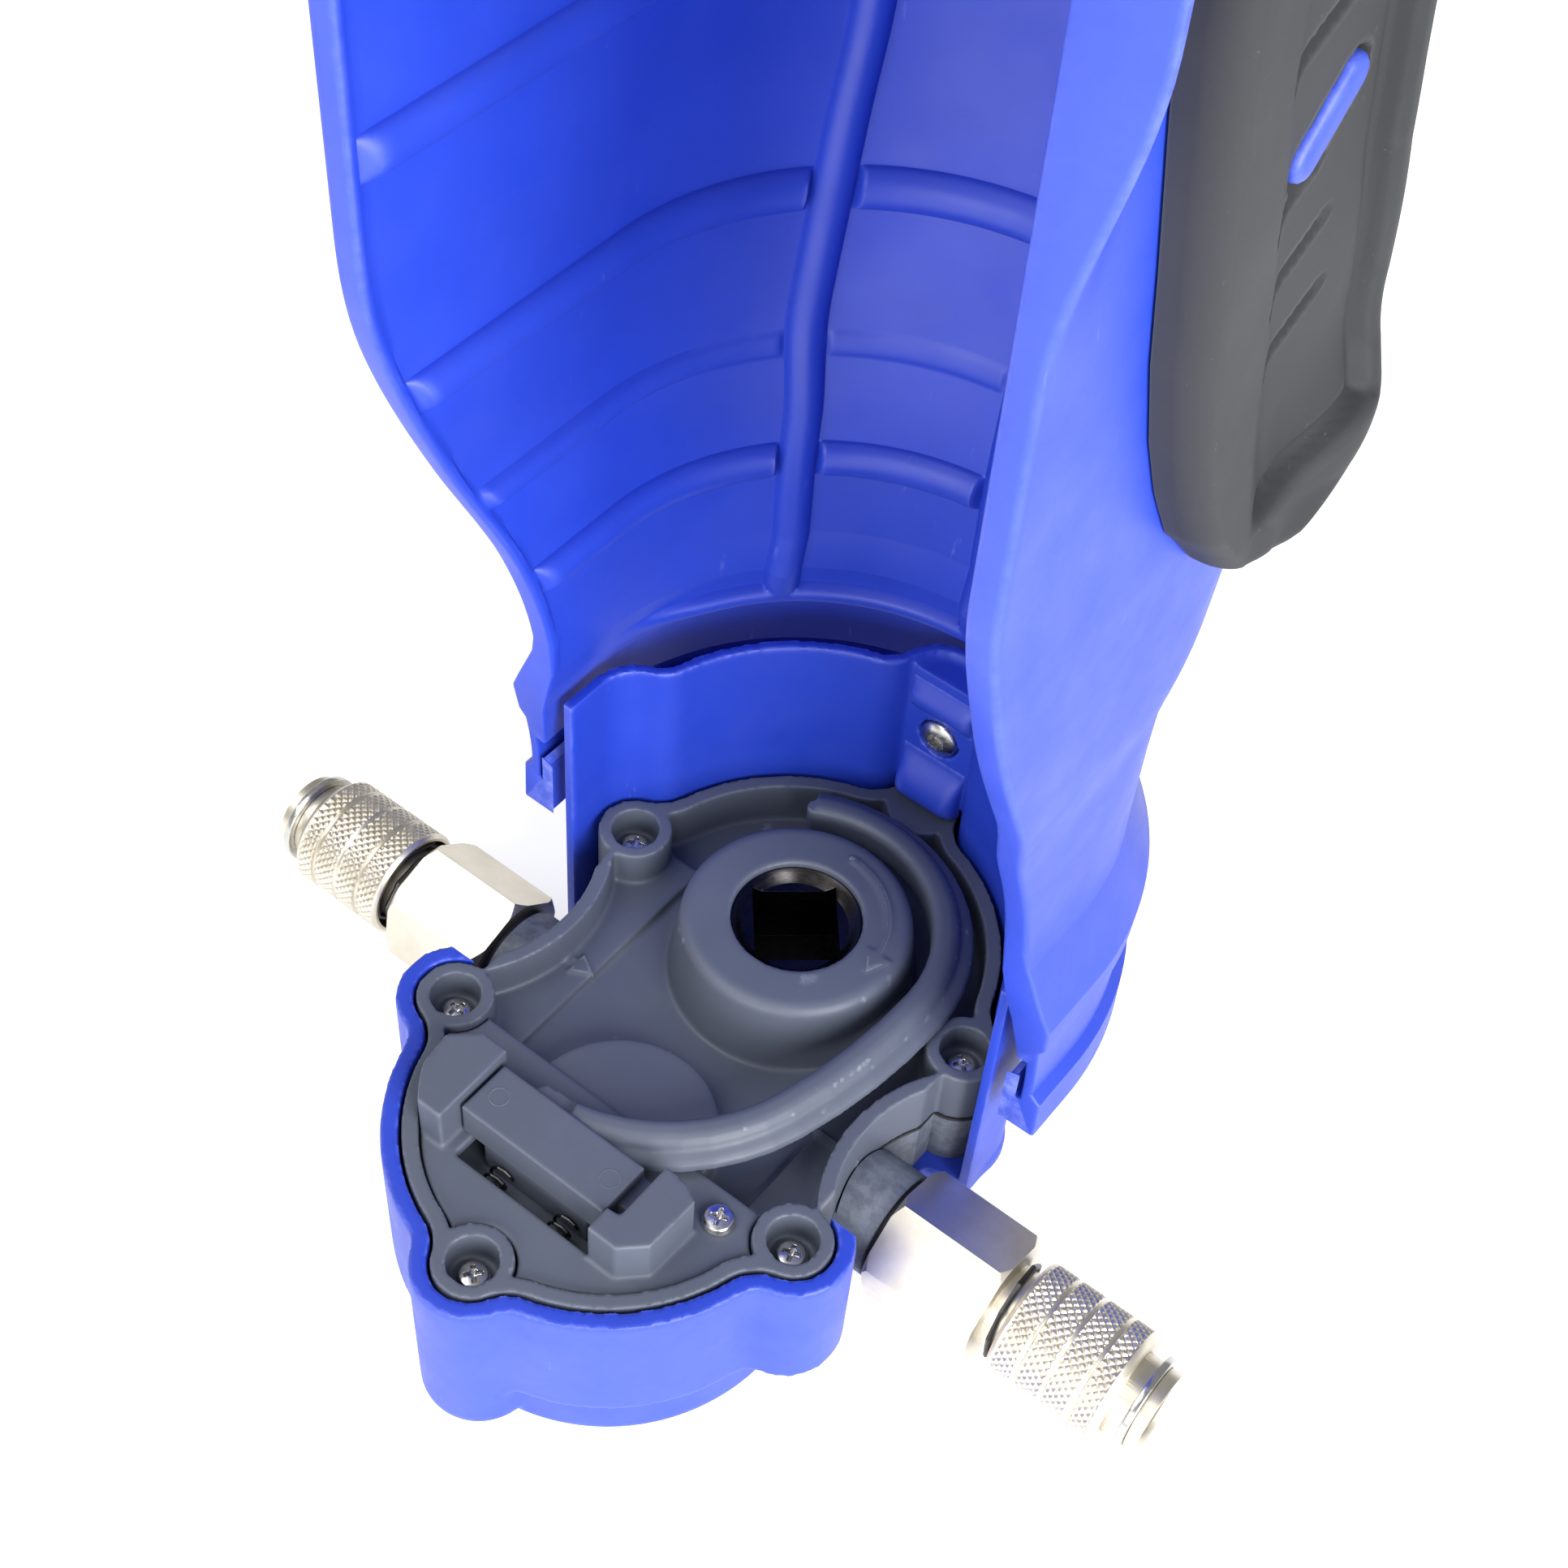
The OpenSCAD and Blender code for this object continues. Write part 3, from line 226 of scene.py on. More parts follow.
FINISH = {
    "rear_shell": BLUE, "lower_cup": BLUE, "grip_pad_left": GRIP, "grip_pad_right": GRIP,
    "pump_body": GREY, "pump_cover": GREY, "latch_plate": GREY, "latch_slider": GREY,
    "chamber_gasket": SEAL, "shaft_seal": SEAL, "cover_screws": STEEL, "shell_screw": STEEL,
    "latch_plate_screw": STEEL, "drive_shaft": DARK, "drive_gear": GEAR, "driven_gear": GEAR,
    "driven_shaft": GEAR, "drive_lock_pin": GEAR, "drive_bush_upper": BRONZE,
    "drive_bush_lower": BRONZE, "driven_bush_upper": BRONZE, "driven_bush_lower": BRONZE,
    "latch_spring_left": SPRING, "latch_spring_right": SPRING,
}
for _, side in SIDES:
    FINISH.update({f"port_washer_{side}": SEAL, f"coupler_body_{side}": NICKEL,
                   f"coupler_sleeve_{side}": NICKEL, f"sleeve_spring_{side}": SPRING,
                   f"locking_balls_{side}": STEEL, f"retaining_ring_{side}": STEEL,
                   f"plug_seal_{side}": SEAL, f"valve_poppet_{side}": BRONZE,
                   f"valve_spring_{side}": SPRING, f"spring_stop_{side}": BRONZE})

for name, node in NODES.items():
    node.data.materials.clear()
    node.data.materials.append(FINISH[name])


# ---------------------------------------------------------------- mesh helpers
def set_smooth(mesh, angle=35):
    """Smooth shading that stays sharp where faces meet at more than angle degrees."""
    mesh.shade_smooth()
    mesh.set_sharp_from_angle(angle=math.radians(angle))


def piece(name, verts_mm, faces, material, body, stands_for=(), angle=35):
    """A new visible piece from points in mm that rides on a body and may stand for CAD nodes."""
    mesh = bpy.data.meshes.new(name)
    mesh.from_pydata([tuple(v) for v in np.asarray(verts_mm) * MM], [], [tuple(f) for f in faces])
    mesh.materials.append(material)
    mesh.validate()
    bm = bmesh.new()
    bm.from_mesh(mesh)
    bmesh.ops.remove_doubles(bm, verts=bm.verts, dist=1e-7)
    bmesh.ops.recalc_face_normals(bm, faces=bm.faces)
    bm.to_mesh(mesh)
    bm.free()
    set_smooth(mesh, angle)
    obj = bpy.data.objects.new(name, mesh)
    bpy.context.scene.collection.objects.link(obj)
    return settle(obj, body, stands_for)


def settle(obj, body, stands_for):
    """Hangs a piece on the empty of the body it rides on, and hides the CAD nodes it stands for."""
    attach(obj, body)
    if stands_for:
        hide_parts(*stands_for)
    return obj


def grid_faces(rows, cols, start=0, wrap=False, flip=False):
    """Quads between neighbouring rows of a grid of points."""
    faces = []
    for i in range(rows - 1):
        for j in range(cols if wrap else cols - 1):
            k = (j + 1) % cols
            a, b = start + i * cols + j, start + i * cols + k
            c, d = a + cols, b + cols
            faces.append((a, c, d, b) if flip else (a, b, d, c))
    return faces


def closed_patch(rows, cols):
    """Faces of a slab made of a front grid of points and, after it, a back grid of the same size."""
    count = rows * cols
    faces = grid_faces(rows, cols) + grid_faces(rows, cols, count, flip=True)
    rim = ([i for i in range(cols)] + [i * cols + cols - 1 for i in range(1, rows)]
           + [(rows - 1) * cols + i for i in range(cols - 2, -1, -1)]
           + [i * cols for i in range(rows - 2, 0, -1)])
    return faces + [(a, b, count + b, count + a) for a, b in zip(rim, rim[1:] + rim[:1])]


def moulded(node, material, body, voxel_mm, rounds, keep, extra=()):
    """A copy of a CAD node with the small rounded edges of a moulding: remeshed, relaxed, thinned."""
    mesh = NODES[node].data.copy()
    mesh.name = node + "_moulding"
    bm = bmesh.new()
    bm.from_mesh(mesh)
    bmesh.ops.remove_doubles(bm, verts=bm.verts, dist=2e-6)
    bm.to_mesh(mesh)
    bm.free()
    obj = bpy.data.objects.new(mesh.name, mesh)
    bpy.context.scene.collection.objects.link(obj)
    remesh = obj.modifiers.new("voxels", "REMESH")
    remesh.mode = "VOXEL"
    remesh.voxel_size = voxel_mm * MM
    relax = obj.modifiers.new("relax", "SMOOTH")
    relax.factor = 0.5
    relax.iterations = rounds
    thin = obj.modifiers.new("thin", "DECIMATE")
    thin.ratio = keep
    bpy.context.view_layer.update()
    graph = bpy.context.evaluated_depsgraph_get()
    obj.data = bpy.data.meshes.new_from_object(obj.evaluated_get(graph))
    obj.modifiers.clear()
    obj.data.materials.clear()
    obj.data.materials.append(material)
    if extra:
        add_solids(obj.data, extra)
    set_smooth(obj.data, 50)
    return settle(obj, body, (node,))


MARK_CHAMFER, MARK_INSET = 0.12, 0.06


def add_solids(mesh, solids):
    """Adds closed prisms, each an outline in mm with its lower and upper height, with a chamfered top."""
    bm = bmesh.new()
    bm.from_mesh(mesh)
    for outline, low, high in solids:
        bottom = [bm.verts.new((x * MM, y * MM, low * MM)) for x, y in outline]
        middle = [bm.verts.new((x * MM, y * MM, (high - MARK_CHAMFER) * MM)) for x, y in outline]
        centre = np.mean(outline, axis=0)
        inset = [np.array(p) + (centre - p) / np.linalg.norm(centre - p) * MARK_INSET for p in outline]
        top = [bm.verts.new((p[0] * MM, p[1] * MM, high * MM)) for p in inset]
        n = len(outline)
        for lower, upper in ((bottom, middle), (middle, top)):
            for i in range(n):
                bm.faces.new((lower[i], lower[(i + 1) % n], upper[(i + 1) % n], upper[i]))
        bm.faces.new(top)
        bm.faces.new(bottom[::-1])
    bm.to_mesh(mesh)
    bm.free()


def softened(node, width_mm):
    """A CAD node kept as it is, with a small bevel on its sharp edges."""
    obj = NODES[node]
    weld = obj.modifiers.new("weld", "WELD")
    weld.merge_threshold = 2e-6
    bevel = obj.modifiers.new("edges", "BEVEL")
    bevel.width = width_mm * MM
    bevel.segments = 2
    bevel.limit_method = "ANGLE"
    bevel.angle_limit = math.radians(35)
    bevel.harden_normals = False
    obj.data.shade_smooth()
    normals = obj.modifiers.new("normals", "WEIGHTED_NORMAL")
    normals.keep_sharp = False
    normals.weight = 90


# ---------------------------------------------------------------- rear shell
def shell_in(z):
    """Inner radius of the shell at height z."""
    return (WAIST_R + (HALF_WIDTH - WAIST_R) * smooth(z, RIM_Z + 66, RIM_Z + 86)
            - 0.9 * smooth(z, RIM_Z + 110, RIM_Z + 130))


def shell_back(z):
    """How far the inside of the shell's back stands from the drive axis."""
    return TALL_BACK + 0.5 + 11.5 * smooth(z, RIM_Z + 55, RIM_Z + 145)


def shell_front(z):
    """Where the shell's front edge stands, along Y."""
    return (-7.3 - 2.7 * smooth(z, RIM_Z + 12, RIM_Z + 36)
            - 28.2 * smooth(z, RIM_Z + 36, RIM_Z + 130))


def lip_flare(z):
    """How far the front edge flares outwards near the top."""
    return 6 * smooth(z, RIM_Z + 158, RIM_Z + 194)


def bead(distance, half_top, half_base):
    """1 near a middle line and 0 past half_base, with a smooth slope between."""
    return 1 - smooth(np.abs(distance), half_top, half_base)


def shell_row(z, r, r_mid, stations):
    """Points at height z. A station is (side, distance from the front edge) or an angle on the back."""
    yc, front = shell_back(z) - r_mid, shell_front(z)
    run = yc - front
    points = []
    for (kind, value), radius in zip(stations, r):
        if kind == "arc":
            a = math.radians(value)
            points.append((radius * math.cos(a), yc + radius * math.sin(a), z))
        else:
            points.append((kind * radius, front + run * value, z))
    return points


EDGE_SHARES = [0, 0.002, 0.006, 0.012, 0.022, 0.035, 0.05, 0.07, 0.09, 0.115, 0.14, 0.17, 0.21,
               0.26, 0.32, 0.40, 0.5, 0.6, 0.7, 0.8, 0.9, 1.0]


UPRIGHT_STEPS = [0.75, 1.5, 2.2, 2.8, 3.3, 3.7, 3.95, 4.2, 4.6, 5, 5.5]
LEVEL_STEPS = [0.55, 1.1, 1.6, 2.1, 2.5, 2.8, 3.0, 3.1, 3.3]


def both_ways(steps):
    """The steps below zero, zero, and the steps above it."""
    return np.array([-v for v in steps[::-1]] + [0] + steps)


def shell_stations():
    """Places round the shell's outline, closer together across each upright rib."""
    fine = set(np.round(np.arange(2, 179, 2.5), 2))
    for middle in RIB_ANGLES:
        fine = {a for a in fine if abs(a - middle) > 5.8}
        fine |= set(np.round(middle + both_ways(UPRIGHT_STEPS), 2))
    arc = [("arc", a) for a in sorted(fine)]
    right = [(1, s) for s in EDGE_SHARES]
    return right + arc + [(-1, s) for s in EDGE_SHARES[::-1]]


STATIONS = shell_stations()
IS_SIDE = np.array([k != "arc" for k, _ in STATIONS])
SHARE = np.array([v if k != "arc" else 1.0 for k, v in STATIONS])
ANGLE = np.array([v if k == "arc" else (0.0 if k == 1 else 180.0) for k, v in STATIONS])


def edge_distance(z):
    """Distance of each station from the front edge, in mm."""
    run = shell_back(z) - shell_in(z) - shell_front(z)
    return np.where(IS_SIDE, SHARE * run, 99.0)


def corner(distance, radius):
    """How far a rounded edge stands back at a distance from the edge."""
    t = np.clip((radius - distance) / radius, 0, 1)
    return radius * (1 - np.sqrt(1 - t * t))


def back_pull():
    """Keeps the round back inside the CAD's faceted one."""
    return BACK_PULL * bead(ANGLE - 91, 5, 16)


def outer_radius(z):
    flare = np.where(IS_SIDE, lip_flare(z) * (1 - smooth(SHARE, 0, 0.16)), 0)
    return shell_in(z) + SHELL_WALL + flare - corner(edge_distance(z), 1.0) - back_pull()


def half_round(distance, half, height):
    """Height of a nearly half-round bead at a distance from its middle line."""
    t = np.clip(np.abs(distance) / half, 0, 1)
    return height * np.sqrt(np.clip(1 - t * t, 0, 1)) ** 1.2


def upright_ribs(foot):
    """Height of the upright ribs at each station, and how far the level ribs are cut back beside them."""
    rise, gap = np.zeros(len(STATIONS)), np.ones(len(STATIONS))
    for a in RIB_ANGLES:
        off = (ANGLE - a) * math.pi / 180 * HALF_WIDTH
        rise = np.maximum(rise, half_round(off, 2.9, RIB_HEIGHT + RIB_SWELL))
        gap = np.minimum(gap, smooth(np.abs(off), 3.0, 3.9))
    return np.where(IS_SIDE, 0, rise * foot), np.where(IS_SIDE, 1, gap)


def inner_radius(z):
    d = edge_distance(z)
    level = max(float(half_round(z - rib, 3.1, RIB_HEIGHT + RIB_SWELL)) for rib in RIB_LEVELS)
    end = np.sqrt(np.clip(1 - np.clip((5.0 - d) / 3.0, 0, 1) ** 2, 0, 1))
    thin_share = 0.35 + 0.65 * smooth(np.abs(ANGLE - 90), 50, 90)
    thin = float(half_round(z - THIN_RIB_Z, 2.0, 1.3)) * thin_share * smooth(d, 1.2, 3.4)
    upright, gap = upright_ribs(1.0)
    raised = np.maximum(np.maximum(level * end, thin) * gap, upright)
    ledge = 0.5 * (1 - smooth(d, 1.5, 2.0))
    return shell_in(z) - raised - ledge + corner(d, 0.8)


def shell_levels():
    """Heights of the shell's rows from the top down, closer together across each level rib."""
    levels = set(np.round(np.arange(RIM_Z + 48, SHELL_TOP - 1.2, 2.2), 2))
    for rib in RIB_LEVELS + [THIN_RIB_Z]:
        levels = {z for z in levels if abs(z - rib) > 3.6}
        levels |= set(np.round(rib + both_ways(LEVEL_STEPS), 2))
    top = [SHELL_TOP - v for v in (1.0, 0.6, 0.3, 0.1, 0.0)]
    low = [RIM_Z + v for v in (44.5, 45.0, 45.5, 46.0, 46.5, 47.0, 47.5)]
    return sorted(levels | set(top) | set(low), reverse=True)


# Outer radius, its height over the rim, inner radius, its height over the rim
HEM = [(WAIST_R + 4.0, 41, WAIST_R, 38), (TAB_R + 7.4, 30, TAB_R, 33), (TAB_R + 7.2, 24.4, TAB_R + 1.4, 28),
       (TAB_R + 6.2, 22.6, TAB_R + 2.8, 18.4), (TAB_R + 6.2, 19, TAB_R + 4.4, 18.6),
       (TAB_R + 6.2, 11, TAB_R + 4.6, 9), (TAB_R + 7.7, 9.6, TAB_R + 4.6, 8.8),
       (TAB_R + 7.9, 2.1, TAB_R + 4, 8.5), (TAB_R + 2.4, 2, TAB_R + 3.5, 8.8),
       (TAB_R + 2.4, 13.2, TAB_R + 3.5, 14)]


def hem_rows():
    """The lower edge in small steps, close together at its corners so that they read as tight radii."""
    rows = []
    for a, b in zip(HEM, HEM[1:]):
        length = max(math.hypot(b[0] - a[0], b[1] - a[1]), math.hypot(b[2] - a[2], b[3] - a[3]))
        near = min(0.3, 0.25 / max(length, 0.1))
        steps = np.linspace(near, 1 - near, 11) if b[3] >= 28 else (near, 0.35, 0.65, 1 - near)
        for t in (0.0, *steps):
            rows.append(tuple(p + (q - p) * t for p, q in zip(a, b)))
    return rows + [HEM[-1]]


def hem_land(height):
    """A raised bead inside the shell just above the tall wall, fading out towards both sides."""
    across = smooth(ANGLE, 70, 96) * (1 - smooth(ANGLE, 150, 176))
    return np.where(IS_SIDE, 0, 2.2 * float(half_round(height - 31.8, 2.2, 1.0)) * across)


def build_shell():
    levels = shell_levels()
    outer, inner = [], []
    for z in levels:
        down = SHELL_TOP - z
        out_r, in_r = outer_radius(z), inner_radius(z)
        outer += shell_row(z, out_r - corner(down, 0.9), float(shell_in(z)), STATIONS)
        inner += shell_row(z, in_r + corner(down, 0.8), float(shell_in(z)), STATIONS)
    hem = hem_rows()
    hem_z = RIM_Z + 33
    edge = corner(edge_distance(hem_z), 0.6)
    for h in hem:
        upright, _ = upright_ribs(float(smooth(h[3], 29.6, 32.6)))
        raised = np.maximum(upright, hem_land(h[3]))
        outer += shell_row(RIM_Z + h[1], h[0] - edge - back_pull(), WAIST_R + 1.2, STATIONS)
        inner += shell_row(RIM_Z + h[3], h[2] + edge * 0.6 - raised, WAIST_R + 1.2, STATIONS)
    rows, cols = len(levels) + len(hem), len(STATIONS)
    count = rows * cols
    faces = grid_faces(rows, cols) + grid_faces(rows, cols, count, flip=True)
    for i in range(rows - 1):
        a, b = i * cols, i * cols + cols - 1
        faces.append((a, a + cols, count + a + cols, count + a))
        faces.append((b, count + b, count + b + cols, b + cols))
    last = (rows - 1) * cols
    for j in range(cols - 1):
        faces.append((j, count + j, count + j + 1, j + 1))
        faces.append((last + j, last + j + 1, count + last + j + 1, count + last + j))
    points = outer + inner
    boss, boss_faces = ring_solid(4.6, 2.1, 5.0, 48)
    turned = [(x, TALL_BACK + 0.1 + z, BRACKET_Z + y) for x, y, z in boss]
    shift = len(points)
    faces += [tuple(i + shift for i in f) for f in boss_faces]
    return piece("rear_shell_moulding", points + turned, faces, BLUE, "housing",
                 ("rear_shell",), 38)


def ring_solid(r_out, r_in, height, n):
    """A ring along +Z with small rounded outer edges."""
    profile = [(r_in, 0), (r_out - 0.3, 0), (r_out, 0.3), (r_out, height - 0.3), (r_out - 0.3, height),
               (r_in, height)]
    return revolve(profile, n, closed=True)


def revolve(profile, n, closed=False):
    """A profile of (radius, height) turned round Z."""
    points = []
    for r, h in profile:
        for k in range(n):
            a = 2 * math.pi * k / n
            points.append((r * math.cos(a), r * math.sin(a), h))
    faces = grid_faces(len(profile), n, wrap=True)
    if closed:
        last = (len(profile) - 1) * n
        faces += [(last + k, last + (k + 1) % n, (k + 1) % n, k) for k in range(n)]
    return points, faces


# ---------------------------------------------------------------- grip pads
# Height over the pad's lower end, and the edge's place along Y
PAD_FRONT = [(0, 6), (1, 4), (3, 1), (8, -3), (12, -6.5), (20, -10.5), (30, -14.8), (42, -18.5),
             (54, -21.2), (72, -25.6), (80, -27.4), (120, -33)]
PAD_REAR = [(0, 9), (1, 12), (3, 16), (7, 23), (12, 26.6), (21, 27.3), (31, 26.2), (43, 21.8), (52, 18.3),
            (68, 14), (97, 7)]
# Both ends of each groove's middle line, as (y, z)
PAD_SLOTS = [((-1.2, 175.4), (9.2, 180.0)), ((-4.2, 185.6), (5.4, 190.3)), ((-7.2, 195.9), (0.0, 199.4)),
             ((-11.4, 214.0), (0.5, 219.4)), ((-12.6, 225.0), (-2.0, 229.8))]
PAD_WINDOW = ((-3.3, 201.4), (2.7, 207.2))


def pad_front(z):
    edge = shell_front(z)
    run = shell_back(z) - shell_in(z) - edge
    x, y = zip(*PAD_FRONT)
    return max(float(np.interp(z - PAD_BOTTOM, x, y)), float(edge + 0.165 * run))


def pad_rear(z):
    x, y = zip(*PAD_REAR)
    return float(np.interp(z - PAD_BOTTOM, x, y))


def capsule(y, z, ends):
    """Distance from a straight line between two ends."""
    (y0, z0), (y1, z1) = ends
    dy, dz = y1 - y0, z1 - z0
    t = np.clip(((y - y0) * dy + (z - z0) * dz) / (dy * dy + dz * dz), 0, 1)
    return np.hypot(y - y0 - t * dy, z - z0 - t * dz)


def pad_height(y, z):
    """Height of the rubber over the shell at surface place (y, z)."""
    left = np.interp(z, [150, 185, 216, 240], [4.2, -5.2, -14.0, -17.5])
    below = z - (150.4 + (y - 3.5) * 0.39)
    behind = pad_rear(z) - 4.0 - y
    panel = smooth(y, left - 1.5, left + 4.5) * smooth(below, 0, 1.3) * smooth(behind, 0, 1.3)
    rail = np.minimum(below, behind)
    groove = np.exp(-((rail - 1.7) / 0.9) ** 2) * smooth(y, left, left + 5)
    crest = 0.8 * np.exp(-((y - (left - 9)) / 6.5) ** 2)
    h = 5.2 + crest - 1.7 * panel - 0.7 * groove
    h = h + 1.0 * smooth(-rail, -0.4, 1.2) * smooth(y, left, left + 4)
    for ends in PAD_SLOTS:
        h = h - 1.3 * (1 - smooth(capsule(y, z, ends), 0.35, 1.25))
    return h - 2.2 * (1 - smooth(capsule(y, z, PAD_WINDOW), 2.4, 3.1))


def pad_surface(y, z, rise):
    """The point over the shell's outside at (y, z), raised by rise."""
    r = shell_in(z) + SHELL_WALL + PAD_GAP
    yc = shell_back(z) - shell_in(z)
    a = max(0.0, y - yc) / r
    if a == 0:
        return (float(r + rise), y, z)
    return (float((r + rise) * math.cos(a)), float(yc + (r + rise) * math.sin(a)), z)


def edge_share(n):
    """Column shares from 0 to 1, closer together at both ends."""
    t = np.linspace(0, 1, n)
    return t - np.sin(2 * np.pi * t) / (2 * np.pi) * 0.55


def build_pads():
    shares = edge_share(86)
    levels = np.concatenate([PAD_BOTTOM + np.array([0, 0.15, 0.4, 0.8, 1.3, 2.0]),
                             np.linspace(PAD_BOTTOM + 2.6, PAD_END - 1.6, 142),
                             PAD_END - np.array([1.1, 0.7, 0.35, 0.1, 0])])
    top, base = [], []
    for z in levels:
        f, w = pad_front(z), pad_rear(z) - pad_front(z)
        y = f + w * shares
        ends = np.minimum(z - PAD_BOTTOM, PAD_END - z)
        sides = np.minimum(y - f, (f + w) - y)
        height = np.array([float(pad_height(np.float64(v), z)) for v in y])
        swell = PAD_SWELL * math.exp(-((z - PAD_BOTTOM - 12) / 10) ** 2)
        height = height + swell * smooth(shares, 0.5, 0.87)
        lost = np.maximum(corner(sides, 3.2), corner(ends, 3.2) if ends < 3.2 else 0)
        rise = np.maximum(0.25, height * (1 - lost / 3.2) + 0.25 * lost / 3.2)
        top += [pad_surface(float(v), float(z), float(h)) for v, h in zip(y, rise)]
        base += [pad_surface(float(v), float(z), 0.0) for v in y]
    faces = closed_patch(len(levels), len(shares))
    points = np.array(top + base)
    for side, name in ((1, "right"), (-1, "left")):
        piece(f"grip_pad_{name}_moulding", points * [side, 1, 1], faces, GRIP, "housing",
              (f"grip_pad_{name}",), 60)
        build_window(side, name)


def build_window(side, name):
    """The blue pill of the shell that shows through the pad."""
    (y0, z0), (y1, z1) = PAD_WINDOW
    along = np.array([y1 - y0, z1 - z0])
    length = np.linalg.norm(along)
    along /= length
    across = np.array([-along[1], along[0]])
    points = []
    n = 40
    steps = [(2.35, 0.05), (2.35, 3.2), (2.2, 3.75), (1.8, 4.1), (1.1, 4.25), (0.3, 4.3)]
    for r, rise in steps:
        for k in range(n):
            a = 2 * math.pi * k / n
            end = (0 if math.cos(a) < 0 else length)
            place = along * (end + r * math.cos(a)) + across * r * math.sin(a)
            points.append(pad_surface(y0 + place[0], z0 + place[1], rise))
    faces = grid_faces(len(steps), n, wrap=True)
    faces += [tuple(range(n))[::-1], tuple((len(steps) - 1) * n + k for k in range(n))]
    piece(f"shell_window_{name}", np.array(points) * [side, 1, 1], faces, BLUE, "housing",
          (), 60)


# ---------------------------------------------------------------- couplers and screws
def at_port(points, side):
    """Points made along +Z, laid along the port's axis on one side."""
    p = np.asarray(points)
    return np.stack([side * p[:, 2], PORT_Y + p[:, 1], PORT_Z - p[:, 0] * side], -1)


def knurl(x, turns):
    """Diamond knurl: two crossed sets of grooves, flat-topped, in four bands between turned grooves."""
    pitch = 40
    a = np.abs(((turns * pitch + x / 1.45) % 1) - 0.5) * 2
    b = np.abs(((turns * pitch - x / 1.45) % 1) - 0.5) * 2
    return np.clip(np.minimum(a, b) * 1.5, 0, 1)


def build_sleeve(side, name):
    n = 320
    turns = np.arange(n) / n
    length = SLEEVE_END - SLEEVE_X
    xs = np.concatenate([[0, 0.12, 0.3, 0.6], np.linspace(0.75, length - 1.35, 116),
                         [length - 1.2, length - 0.8, length - 0.4, length - 0.12, length]])
    rows = []
    for x in xs:
        base = SLEEVE_R - 0.6 * (1 - smooth(x, -0.2, 0.6)) - 1.2 * smooth(x, length - 1.3, length + 0.2)
        band = (x * 4 / length) % 1
        groove = max(1 - min(band, 1 - band) * length / 4 / 0.42, 0) if 0.9 < x < length - 1.6 else 0
        live = float(smooth(x, 0.7, 1.0) * (1 - smooth(x, length - 1.5, length - 1.2)))
        live *= 0 if groove > 0 else 1
        relief = 0.34 * (1 - knurl(x, turns)) * live
        r = base - relief - 0.32 * min(1, groove * 3)
        a = 2 * np.pi * turns
        rows.append(np.stack([r * np.cos(a), r * np.sin(a), np.full(n, SLEEVE_X + x)], -1))
    bore = [(SLEEVE_BORE, SLEEVE_END - 0.2), (SLEEVE_BORE, SLEEVE_LAND), (SPRING_ROOM_R, SLEEVE_LAND),
            (SPRING_ROOM_R, SLEEVE_X)]
    for r, x in bore:
        a = 2 * np.pi * turns
        rows.append(np.stack([r * np.cos(a), r * np.sin(a), np.full(n, x)], -1))
    points = np.concatenate(rows)
    faces = grid_faces(len(rows), n, wrap=True)
    last = (len(rows) - 1) * n
    faces += [(last + k, last + (k + 1) % n, (k + 1) % n, k) for k in range(n)]
    piece(f"knurled_sleeve_{name}", at_port(points, side), faces, NICKEL, f"sleeve_{name}",
          (f"coupler_sleeve_{name}",), 30)


def pan_head(length, turn):
    """A cross-recess pan head screw with its head's underside at z 0 and its shank downwards."""
    n = 96
    radii = np.concatenate([np.linspace(0, 1.9, 26), [2.0, 2.12, 2.24, 2.33, 2.38, 2.4]])
    rows = []
    a = 2 * np.pi * np.arange(n) / n
    for r in radii:
        dome = 1.72 - 0.45 * (r / 2.4) ** 2 - 0.75 * float(smooth(r, 1.9, 2.45)) ** 2
        x, y = r * np.cos(a - turn), r * np.sin(a - turn)
        arm = np.maximum(1 - smooth(np.abs(x), 0.20, 0.34), 1 - smooth(np.abs(y), 0.20, 0.34))
        recess = arm * (1 - smooth(r, 1.15, 1.42)) * (1.05 - 0.35 * r)
        cone = 0.5 * (1 - smooth(r, 0.3, 0.75))
        z = np.maximum(dome - np.maximum(recess, cone), 0.3)
        rows.append(np.stack([r * np.cos(a), r * np.sin(a), z], -1))
    for r, z in ((2.4, 0.1), (2.3, 0.0), (1.45, 0.0)):
        rows.append(np.stack([r * np.cos(a), r * np.sin(a), np.full(n, z)], -1))
    depth = 0.0
    while depth < length - 0.9:
        for r, step in ((1.2, 0.3), (1.45, 0.3)):
            depth += step
            rows.append(np.stack([r * np.cos(a), r * np.sin(a), np.full(n, -depth)], -1))
    rows.append(np.stack([0.5 * np.cos(a), 0.5 * np.sin(a), np.full(n, -length)], -1))
    points = np.concatenate(rows)
    faces = grid_faces(len(rows), n, wrap=True)
    faces.append(tuple((len(rows) - 1) * n + k for k in range(n)))
    return points, faces


